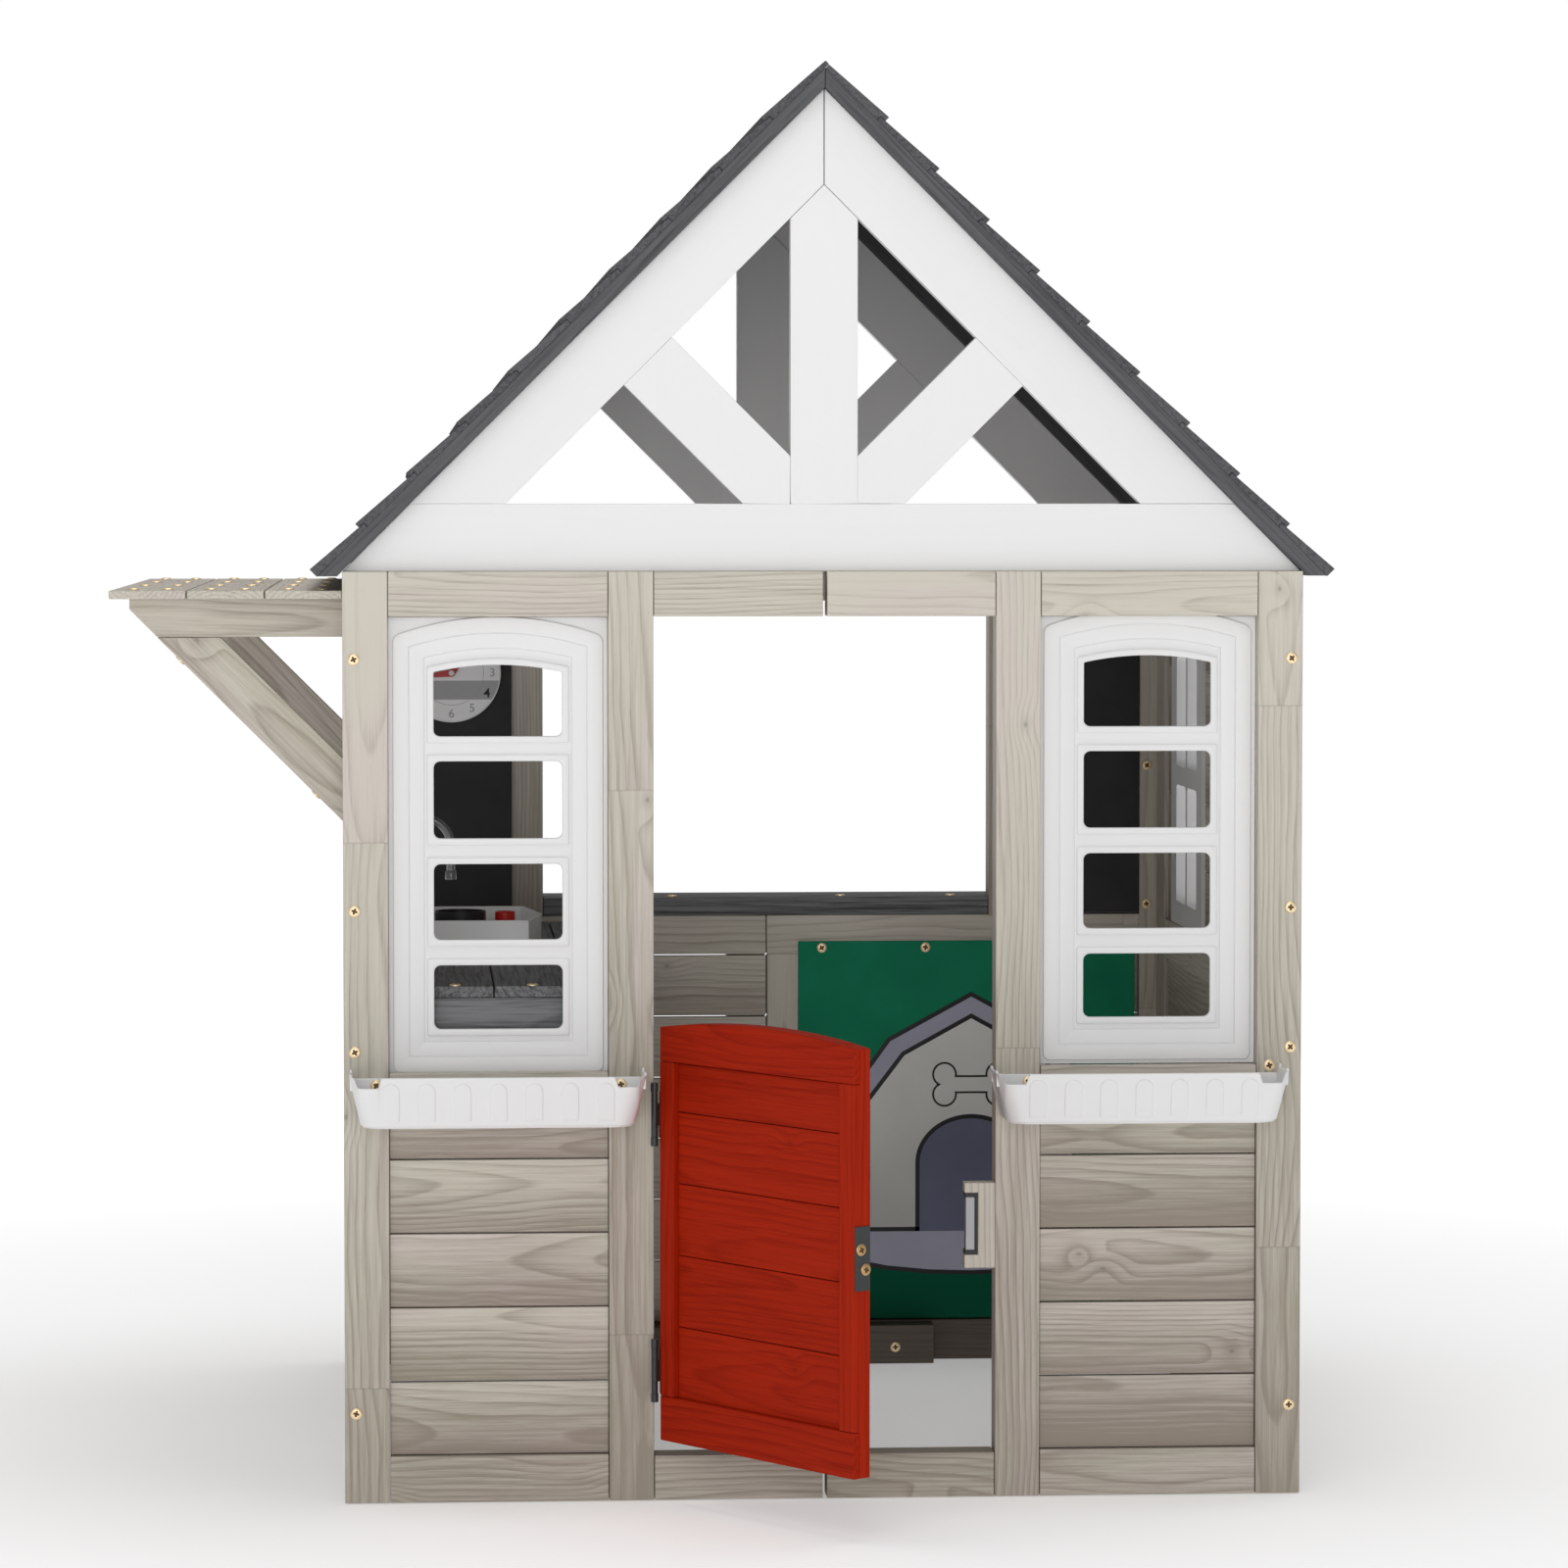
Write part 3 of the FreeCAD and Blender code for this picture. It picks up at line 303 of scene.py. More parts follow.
    def _rings(self, graph: Graph, grain: Wire, around: Wire) -> Wire:
        """Growth rings cut by the board's faces, with the soft start and hard end of a year's growth."""
        wander = graph.noise(graph.stretch(grain, (2.6, 6.0, 6.0)), 1.0, 2.0, 0.4)
        shake = graph.noise(graph.stretch(grain, (30.0, 90.0, 90.0)), 1.0, 2.0, 0.5)
        across = graph.stretch(grain, (0.0, 1.0, 1.0))
        radius = graph.add("ShaderNodeVectorMath", {"operation": "LENGTH"}, {0: across}, "Value")
        radius = radius + wander * 0.034 + shake * (0.9 * MM) + around * (6.0 * MM)
        year = (radius / self.ring).math("FRACT")
        return (year ** 3.2) * year.step(1.0, 0.86)


@dataclass(frozen=True)
class Finish:
    """Moulded, painted or plated surface with slight mottling, a fine surface texture and, where given, painted
    shade that darkens it towards the ground.
    """

    name: str
    colour: Colour
    roughness: float = 0.4
    metallic: float = 0.0
    mottle: float = 0.05
    mottle_scale: float = 14.0
    texture: float = 900.0
    relief: float = 0.02 * MM
    smears: float = 0.08
    coat: float = 0.0
    gloss: float = 0.35
    # Painted shade: lower height, upper height, and the share of the colour that is left at the lower one.
    fade: tuple[float, float, float] | None = None

    def material(self) -> bpy.types.Material:
        """Make the surface's material."""
        graph = Graph(self.name)
        place = graph.add("ShaderNodeTexCoord", None, None, "Object")
        cloud = graph.noise(place, self.mottle_scale, 3.0, 0.55)
        grit = graph.noise(place, self.texture, 2.0, 0.6)
        paler = tuple(min(1.0, c * (1.0 + self.mottle)) for c in self.colour)
        darker = tuple(c * (1.0 - self.mottle) for c in self.colour)
        rough = (cloud - 0.5) * self.smears * 2.0 + (grit - 0.5) * 0.06 + self.roughness
        base = graph.mix(cloud.step(0.25, 0.75), darker, paler)
        # Painted shade: the colour falls towards the given share below the upper height, as low parts lie in
        # shade.
        if self.fade:
            low, high, share = self.fade
            height = graph.add("ShaderNodeSeparateXYZ", None, {0: place}, 2)
            deep = tuple(c * share for c in self.colour)
            base = graph.mix(height.step(low, high), deep, base)
        graph.set(Base_Color=base, Roughness=rough,
                  Normal=graph.bump(grit, self.relief), Metallic=self.metallic, Coat_Weight=self.coat,
                  Specular_IOR_Level=self.gloss)
        return graph.material


class Paint(Enum):
    """Every finish of the playhouse, each made into one material when first used."""

    POST = Wood("post_wood", (0.600, 0.557, 0.497), (0.300, 0.261, 0.215), ring=4.4 * MM, figure=0.55,
                fibres=0.36, cloud=0.25, hue=0.012, joint=0.56)
    TIMBER = Wood("greige_wood", (0.600, 0.556, 0.496), (0.290, 0.251, 0.207), ring=4.6 * MM, figure=0.55,
                  fibres=0.40, spread=0.24, cloud=0.25, hue=0.012)
    # Painted shade: near-black copy of the post wood for the foot of the back wall.
    FOOT = Wood("foot_wood", (0.120, 0.100, 0.080), (0.045, 0.035, 0.026), ring=4.4 * MM, figure=0.5,
                fibres=0.4)
    WHITE_TRIM = Wood("white_trim", (0.80, 0.80, 0.80), (0.775, 0.775, 0.773), figure=0.2, fibres=0.2,
                      knots=0.0, spread=0.1, roughness=0.5, relief=0.05 * MM)
    ROOF = Wood("roof_wood", (0.115, 0.116, 0.120), (0.048, 0.049, 0.052), figure=0.4, fibres=0.8, knots=0.3,
                relief=0.3 * MM, roughness=0.75, gloss=0.12)
    COUNTER = Wood("charcoal_wood", (0.200, 0.203, 0.208), (0.045, 0.046, 0.048), figure=0.45, fibres=0.9,
                   knots=0.3, relief=0.2 * MM)
    DOOR = Wood("red_stain", (0.40, 0.019, 0.003), (0.210, 0.007, 0.001), ring=6.0 * MM, figure=0.45,
                fibres=0.45, knots=0.4, spread=0.10, roughness=0.55, relief=0.12 * MM, gloss=0.06)
    WHITE = Finish("white_plastic", (0.77, 0.77, 0.772), roughness=0.40, mottle=0.006, relief=0.006 * MM,
                   gloss=0.3)
    CHALKBOARD = Finish("chalkboard_black", (0.036, 0.036, 0.037), roughness=0.66, mottle=0.18,
                        texture=2400.0, smears=0.1, gloss=0.2)
    # The green panel and the stone print darken towards the ground as painted shade.
    GREEN = Finish("picture_green", (0.016, 0.235, 0.125), roughness=0.7, mottle=0.08, texture=1800.0,
                   gloss=0.0, fade=(0.03, 0.42, 0.38))
    BRASS = Finish("brass_plate", (0.90, 0.72, 0.46), roughness=0.42, metallic=0.6, mottle=0.06,
                   mottle_scale=260.0)
    # Painted shade: a darker copy of the brass for screws that sit in shade.
    BRONZE = Finish("bronze_plate", (0.52, 0.34, 0.16), roughness=0.45, metallic=0.7, mottle=0.06,
                    mottle_scale=260.0)
    # Painted shade: dark brown for the inside of the screws' cross recesses.
    RECESS = Finish("screw_recess", (0.16, 0.09, 0.035), roughness=0.6, metallic=0.3)
    BLACK_STEEL = Finish("black_steel", (0.022, 0.023, 0.025), roughness=0.36, mottle=0.15, mottle_scale=90.0,
                         coat=0.25)
    MAGNET = Finish("magnet_grey", (0.30, 0.30, 0.31), roughness=0.42, metallic=0.7, mottle=0.1)
    BLACK = Finish("black_plastic", (0.018, 0.018, 0.019), roughness=0.42)
    GREY = Finish("grey_plastic", (0.13, 0.133, 0.138), roughness=0.16, mottle=0.04, coat=0.6)
    RED = Finish("red_plastic", (0.50, 0.016, 0.012), roughness=0.3)
    DIAL = Finish("dial_grey", (0.93, 0.93, 0.935), roughness=0.38, mottle=0.02)
    DIAL_BAND = Finish("dial_band", (0.42, 0.42, 0.43), roughness=0.4, mottle=0.02)
    PRINT_GREY = Finish("print_grey", (0.36, 0.36, 0.37), roughness=0.45, mottle=0.03)
    INK = Finish("print_black", (0.006, 0.006, 0.009), roughness=0.4)
    LILAC = Finish("print_lilac", (0.42, 0.42, 0.53), roughness=0.5, mottle=0.06)
    STONE = Finish("print_stone", (0.78, 0.785, 0.76), roughness=0.5, mottle=0.05, texture=1500.0,
                   fade=(0.03, 0.42, 0.55))
    SLATE = Finish("print_slate", (0.13, 0.14, 0.22), roughness=0.5, mottle=0.08)

    def get(self) -> bpy.types.Material:
        """The finish's material, shared by every piece that wears it."""
        return bpy.data.materials.get(Graph.PREFIX + self.value.name) or self.value.material()


# ------------------------------------------------------------------ meshes
def grid_faces(rows: int, columns: int, wrap_rows: bool, wrap_columns: bool) -> np.ndarray:
    """Quads of a grid of points kept row by row.

    Args:
        rows: number of rows.
        columns: number of points in a row.
        wrap_rows: join the last row to the first.
        wrap_columns: join the last column to the first.

    Returns:
        Array of four point numbers a quad.
    """
    starts = (np.arange(rows - (not wrap_rows)), np.arange(columns - (not wrap_columns)))
    r, c = np.meshgrid(*starts, indexing="ij")
    r2 = (r + 1) % rows
    c2 = (c + 1) % columns
    corners = [r * columns + c, r * columns + c2, r2 * columns + c2, r2 * columns + c]
    return np.stack(corners, axis=-1).reshape(-1, 4)


@dataclass
class Shell:
    """Closed patches gathered into one mesh, each face with the number of its material."""

    points: list[np.ndarray] = field(default_factory=list)
    faces: list[tuple[int, ...]] = field(default_factory=list)
    paints: list[int] = field(default_factory=list)
    count: int = 0

    def grid(self, points: np.ndarray, wrap_rows: bool, wrap_columns: bool, paint: int = 0) -> None:
        """Add a surface given as an array of rows by columns by 3."""
        rows, columns = points.shape[:2]
        quads = grid_faces(rows, columns, wrap_rows, wrap_columns) + self.count
        self._take(points.reshape(-1, 3), quads.tolist(), paint)

    def prism(self, outline: np.ndarray, thickness: np.ndarray, paint: int = 0) -> None:
        """Add a plate: a closed outline of n by 3 points, carried along one vector."""
        n = len(outline)
        ring = grid_faces(2, n, False, True) + self.count
        ends = [tuple(range(self.count, self.count + n)), tuple(range(self.count + n, self.count + 2 * n))]
        self._take(np.concatenate([outline, outline + thickness]), ring.tolist() + ends, paint)

    def _take(self, points: np.ndarray, faces: list, paint: int) -> None:
        """Keep points and faces, and count them."""
        self.points.append(points)
        self.faces.extend(faces)
        self.paints.extend([paint] * len(faces))
        self.count += len(points)

    def make(self, name: str, body: str, paints: list[Paint], slot: str, *stands_for: str) -> bpy.types.Object:
        """Finish the mesh and put it on its body.

        Args:
            name: the piece's name.
            body: the body it rides on.
            paints: finishes, in the order of the face numbers.
            slot: the record's material slot; not used.
            stands_for: frame nodes that it replaces.

        Returns:
            The new object.
        """
        mesh = bpy.data.meshes.new(name)
        mesh.from_pydata(np.concatenate(self.points), [], self.faces)
        mesh.polygons.foreach_set("material_index", self.paints)
        work = bmesh.new()
        work.from_mesh(mesh)
        bmesh.ops.remove_doubles(work, verts=work.verts, dist=0.004 * MM)
        bmesh.ops.recalc_face_normals(work, faces=work.faces)
        work.to_mesh(mesh)
        work.free()
        for paint in paints:
            mesh.materials.append(paint.get())
        return settle(bpy.data.objects.new(name, mesh), body, slot, *stands_for)


def settle(piece: bpy.types.Object, body: str, slot: str, *stands_for: str) -> bpy.types.Object:
    """Shade a piece, link it, tie it to its body and hide the frame nodes that it stands for."""
    piece.data.shade_smooth()
    piece.data.set_sharp_from_angle(angle=math.radians(32.0))
    bpy.context.scene.collection.objects.link(piece)
    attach(piece, body)
    if stands_for:
        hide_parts(*stands_for)
    log.info("%s: %d faces", piece.name, len(piece.data.polygons))
    return piece


def round_edges(piece: bpy.types.Object, radius: float, segments: int = 2) -> None:
    """Round every sharp edge of a piece."""
    bevel = piece.modifiers.new("rounded_edges", "BEVEL")
    bevel.width = radius
    bevel.segments = segments
    bevel.limit_method = "ANGLE"
    bevel.angle_limit = math.radians(32.0)
    bevel.harden_normals = True


def islands(mesh: bpy.types.Mesh) -> np.ndarray:
    """Number the separate solids of a mesh: each point takes the lowest number that edges lead it to."""
    edges = np.empty(len(mesh.edges) * 2, dtype=np.int64)
    mesh.edges.foreach_get("vertices", edges)
    first, second = edges.reshape(-1, 2).T
    label = np.arange(len(mesh.vertices))
    while True:
        lower = np.minimum(label[first], label[second])
        new = label.copy()
        np.minimum.at(new, first, lower)
        np.minimum.at(new, second, lower)
        if np.array_equal(new, label):
            return np.unique(label, return_inverse=True)[1]
        label = new


def points_of(mesh: bpy.types.Mesh) -> np.ndarray:
    """The mesh's points as an n by 3 array."""
    flat = np.empty(len(mesh.vertices) * 3)
    mesh.vertices.foreach_get("co", flat)
    return flat.reshape(-1, 3)


def merged_copy(node: str) -> bpy.types.Mesh:
    """Copy of a frame node's mesh with its doubles merged and its flat faces joined."""
    mesh = frame["nodes"][node].data.copy()
    work = bmesh.new()
    work.from_mesh(mesh)
    bmesh.ops.remove_doubles(work, verts=work.verts, dist=0.01 * MM)
    bmesh.ops.dissolve_limit(work, angle_limit=math.radians(0.6), verts=work.verts, edges=work.edges)
    work.to_mesh(mesh)
    work.free()
    mesh.materials.clear()
    return mesh


def outline(left: float, right: float, low: float, high: float, radius: float,
            top_radius: float | None = None) -> np.ndarray:
    """Rounded rectangle in a plane.

    Four straight sides joined by four quarter circles, always with the same number of points, so that two
    outlines can be joined point to point.

    Args:
        left, right, low, high: the rectangle's edges.
        radius: radius of its corners.
        top_radius: radius of the two upper corners, if it differs.

    Returns:
        Points as an n by 2 array, anticlockwise from the lower side.
    """
    side = np.linspace(0.0, 1.0, 25)[1:-1, None]
    turn = np.linspace(0.0, 0.25 * TAU, 7)
    upper = radius if top_radius is None else top_radius
    corners = ((right, low, radius, -1, 1), (right, high, upper, -1, -1), (left, high, upper, 1, -1),
               (left, low, radius, 1, 1))
    arcs = [np.array((x + sx * r, z + sz * r)) + r * np.stack([np.cos(turn + a), np.sin(turn + a)], axis=1)
            for (x, z, r, sx, sz), a in zip(corners, (-0.25 * TAU, 0.0, 0.25 * TAU, 0.5 * TAU))]
    parts = []
    for k, arc in enumerate(arcs):
        before = arcs[k - 1][-1]
        parts += [before + (arc[0] - before) * side, arc]
    return np.concatenate(parts)


@dataclass(frozen=True)
class House:
    """Centre line and front face of the house in the part's frame."""

    middle: float
    front: float

    @classmethod
    def find(cls) -> "House":
        """Read both from the corner posts."""
        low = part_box("front_left_posts")[0]
        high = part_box("front_right_posts")[1]
        return cls((low.x + high.x) / 2.0, low.y)

    def at(self, x: float, y: float, z: float) -> Vector:
        """A place given in millimetres from the centre line, the front face and the ground."""
        return Vector((self.middle + x * MM, self.front + y * MM, z * MM))


HOUSE = House.find()


# ------------------------------------------------------------------ boards
@dataclass
class Boards:
    """Wooden pieces that keep the frame's shape, each board with its own grain and rounded edges."""

    paint: Paint
    slot: str
    nodes: tuple[str, ...]
    body: str = "house"
    edge: float = 1.0 * MM
    gap: float = 0.7 * MM
    swell: float = 0.0
    tone: float = 0.5
    slope: float = 0.0
    # Painted shade near the ground: foot darkens the wood between the two heights given after it, fully at the
    # lower one, and the foot finish, a near-black copy of the wood, covers faces below its top height.
    foot: float = 0.0
    foot_paint: Paint | None = None
    foot_top: float = 110.0 * MM
    damp: tuple[float, float] = (500.0 * MM, 60.0 * MM)
    seed: int = 1

    def build(self) -> None:
        """Make one piece for each node."""
        for number, node in enumerate(self.nodes):
            mesh = merged_copy(node)
            self._lay_grain(mesh, np.random.default_rng(self.seed * 100 + number))
            mesh.materials.append(self.paint.get())
            if self.foot_paint:
                # Painted shade: faces whose middle lies below the top height take the dark foot finish.
                mesh.materials.append(self.foot_paint.get())
                low = [int(face.center.z < self.foot_top) for face in mesh.polygons]
                mesh.polygons.foreach_set("material_index", low)
            piece = settle(bpy.data.objects.new(f"{node}_boards", mesh), self.body, self.slot, node)
            round_edges(piece, self.edge)

    def _lay_grain(self, mesh: bpy.types.Mesh, random: np.random.Generator) -> None:
        """Write each point's place in the log it was sawn from.

        A board's longest direction follows the fibres. The heart of the log lies a few centimetres behind
        the face and a little to one side, which gives long arches on wide faces and lines on narrow ones.
        The tint is the group's tone, a chance share for the board, a slope from its top to its foot, and a
        share that grows towards the ground. The share near the ground is painted shade, and so is the slope on
        the posts, which run up from the ground: both darken low wood that lies in shade.
        Each board is drawn in at its ends by the width of the gap that shows at its joints, and may be swollen
        across so that it meets its neighbours.
        """
        points = points_of(mesh)
        label = islands(mesh)
        grain = np.zeros_like(points)
        tint = np.zeros(len(points))
        for number in range(label.max() + 1):
            chosen = label == number
            local = points[chosen] - points[chosen].mean(axis=0)
            axes = np.linalg.svd(local, full_matrices=False)[2]
            heart = (random.uniform(0.0, 40.0), random.uniform(-0.035, 0.035), random.uniform(0.022, 0.06))
            grain[chosen] = local @ axes.T + heart
            height = local[:, 2] / max(np.ptp(local[:, 2]), MM)
            tint[chosen] = self.tone + random.uniform(-0.4, 0.4) - self.slope * height
            along = local @ axes[0]
            draw_in = 2.0 * self.gap / np.ptp(along)
            points[chosen] -= np.outer(along * draw_in, axes[0])
            across = local @ axes[1]
            points[chosen] += np.outer(across * 2.0 * self.swell / np.ptp(across), axes[1])
        # Painted shade: the tint grows towards the ground, where low wood lies in shade.
        tint += self.foot * smooth(*self.damp, points[:, 2])
        log.info("%s: %d boards", mesh.name, label.max() + 1)
        mesh.vertices.foreach_set("co", points.ravel())
        mesh.attributes.new(Wood.GRAIN, "FLOAT_VECTOR", "POINT").data.foreach_set("vector", grain.ravel())
        mesh.attributes.new(Wood.TINT, "FLOAT", "POINT").data.foreach_set("value", tint)


# ------------------------------------------------------------------ windows
class Facing(Enum):
    """Which way a window looks: (direction across it, direction into it)."""

    FRONT = ((1.0, 0.0, 0.0), (0.0, 1.0, 0.0))
    RIGHT = ((0.0, 1.0, 0.0), (-1.0, 0.0, 0.0))


@dataclass
class MouldedWindow:
    """One-piece window: backing plate, arched sash with two stepped mouldings, and lipped open panes."""

    node: str
    facing: Facing
    panes: tuple[tuple[float, float, float, float], ...]
    sash: tuple[float, float, float, float]
    arch_radius: float
    arch_start: float
    arch_rise: float = 30.0
    depth: float = 6.0
    steps: tuple[float, float] = (16.5, 32.0)
    step_depth: float = 1.5
    lip: float = 7.5
    corner: float = 7.0
    tuck: float = 6.0
    bend_passes: int = 60

    def build(self) -> bpy.types.Object:
        """Join the plate, the sash and a cell round each pane."""
        shell = Shell()
        low, high = (np.array(corner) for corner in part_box(self.node))
        size = (high - low) / MM
        width = abs(np.dot(size, self.facing.value[0]))
        height = size[2]
        self._ring(shell, self._plate_section(width, height))
        self._ring(shell, self._sash_section())
        for number, pane in enumerate(self.panes):
            self._ring(shell, self._cell_section(number, pane))
        return shell.make(f"{self.node}_moulding", "house", [Paint.WHITE], "white_plastic", self.node)

    def _ring(self, shell: Shell, section: list[tuple[np.ndarray, float]]) -> None:
        """Carry a section of (outline, depth) pairs round into a closed ring."""
        rows = np.stack([self._place(points, depth) for points, depth in section])
        shell.grid(rows, True, True)

    def _place(self, points: np.ndarray, depth: float) -> np.ndarray:
        """Window millimetres to metres: the top is bent down to an arch, in proportion to x squared."""
        low, high = (np.array(corner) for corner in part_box(self.node))
        across, inward = (np.array(v) for v in self.facing.value)
        x, z = points.T
        z = z - self._bend(x, z)
        start = (low + high) / 2.0
        start = start - inward * (abs(np.dot(high - low, inward)) / 2.0)
        start[2] = low[2]
        up = np.array((0.0, 0.0, 1.0))
        return start + (np.outer(x, across) + np.outer(z, up) + inward * depth) * MM

    def _bend(self, x: np.ndarray, z: np.ndarray) -> np.ndarray:
        """How far a point is bent down: x squared over twice the arch's radius, fading out below its start."""
        return smooth(self.arch_start, self.arch_start + self.arch_rise, z) * x * x / (2.0 * self.arch_radius)

    def _plate_section(self, width: float, height: float) -> list[tuple[np.ndarray, float]]:
        """Flat plate from behind the sash to a square edge that fills its bay."""
        def square(inset: float) -> np.ndarray:
            """Plate's outline, its arch undone in advance."""
            points = outline(-width / 2 + inset, width / 2 - inset, inset, height - inset, 1.0)
            wanted = points[:, 1].copy()
            for _ in range(self.bend_passes):
                points[:, 1] = wanted + self._bend(*points.T)
            return points
        front = self.depth / 2.0
        left, right, low, high = self.sash
        inner = outline(left + self.tuck, right - self.tuck, low + self.tuck, high - self.tuck, 1.0)
        edges = ((0.5, front), (0.0, front + 0.5), (0.0, self.depth - 0.5), (0.5, self.depth))
        return [(inner, front)] + [(square(inset), depth) for inset, depth in edges] + [(inner, self.depth)]

    def _sash_section(self) -> list[tuple[np.ndarray, float]]:
        """Stepped frame: rounded outer edge, then two steps down towards the panes."""
        left, right, low, high = self.sash
        first, second = self.steps
        drop = self.step_depth
        back = self.depth - 0.1
        profile = [(0.0, back), (0.0, 1.6), (0.25, 0.75), (0.8, 0.2), (1.7, 0.0), (first - 0.9, 0.0),
                   (first - 0.3, 0.15), (first, drop + 0.7), (first + 0.7, drop + 0.7), (first + 1.0, drop),
                   (second - 0.9, drop), (second - 0.3, drop + 0.15), (second, 2 * drop + 0.4),
                   (second + 0.7, 2 * drop + 0.4), (second + 1.0, 2 * drop - 0.2), (second + 1.0, back)]
        return [(outline(left + e, right - e, low + e, high - e, max(self.corner - e, 0.4)), depth)
                for e, depth in profile]

    def _cell_section(self, number: int,
                      pane: tuple[float, float, float, float]) -> list[tuple[np.ndarray, float]]:
        """Field round one pane, with a raised lip and a rounded edge into the opening."""
        left, right, low, high = pane
        wall = self.steps[1] + 1.0
        slit = 0.015
        edges = [self.sash[0] + wall, self.sash[1] - wall, self.sash[2] + wall, self.sash[3] - wall]
        for other in self.panes[:number] + self.panes[number + 1:]:
            if other[0] >= right:
                edges[1] = min(edges[1], (right + other[0]) / 2.0 - slit)
            elif other[1] <= left:
                edges[0] = max(edges[0], (left + other[1]) / 2.0 + slit)
            elif other[2] >= high:
                edges[3] = min(edges[3], (high + other[2]) / 2.0 - slit)
            elif other[3] <= low:
                edges[2] = max(edges[2], (low + other[3]) / 2.0 + slit)
        field_depth = 2 * self.step_depth - 0.2
        back = self.depth - 0.1
        profile = [(self.lip, field_depth), (self.lip - 0.5, field_depth - 0.3), (self.lip - 0.9, 1.3),
                   (self.lip - 1.5, 1.0), (1.6, 1.0), (0.7, 1.2), (0.2, 1.7), (0.0, 2.6), (0.0, back)]
        square_top = pane[3] > self.arch_start
        rings = []
        for e, depth in profile:
            radius = self.corner + (2.0 - self.corner) * e / self.lip
            rings.append((outline(left - e, right + e, low - e, high + e, radius,
                                  min(1.5, radius) if square_top else radius), depth))
        cell = outline(*edges, 0.3)
        return [(cell, field_depth)] + rings + [(cell, back)]


def front_window(node: str) -> MouldedWindow:
    """Window beside the door: four panes in a column under a shallow arch."""
    rows = ((48.5, 114.0), (140.3, 217.9), (244.3, 323.3), (349.0, 422.0))
    panes = tuple((-65.75, 65.75, low, high) for low, high in rows)
    return MouldedWindow(node, Facing.FRONT, panes, (-107.75, 107.75, 3.8, 471.5), 294.7, 348.0)


def side_window(node: str) -> MouldedWindow:
    """Window in the right wall: two by two panes under one arch."""
    panes = tuple((a, b, low, high) for a, b in ((-84.0, -6.0), (6.0, 84.0))
                  for low, high in ((27.0, 163.0), (185.0, 342.0)))
    return MouldedWindow(node, Facing.RIGHT, panes, (-116.0, 116.0, 2.0, 362.0), 104.0, 190.0, 150.0,
                         depth=18.0, steps=(9.0, 18.0), lip=4.0)


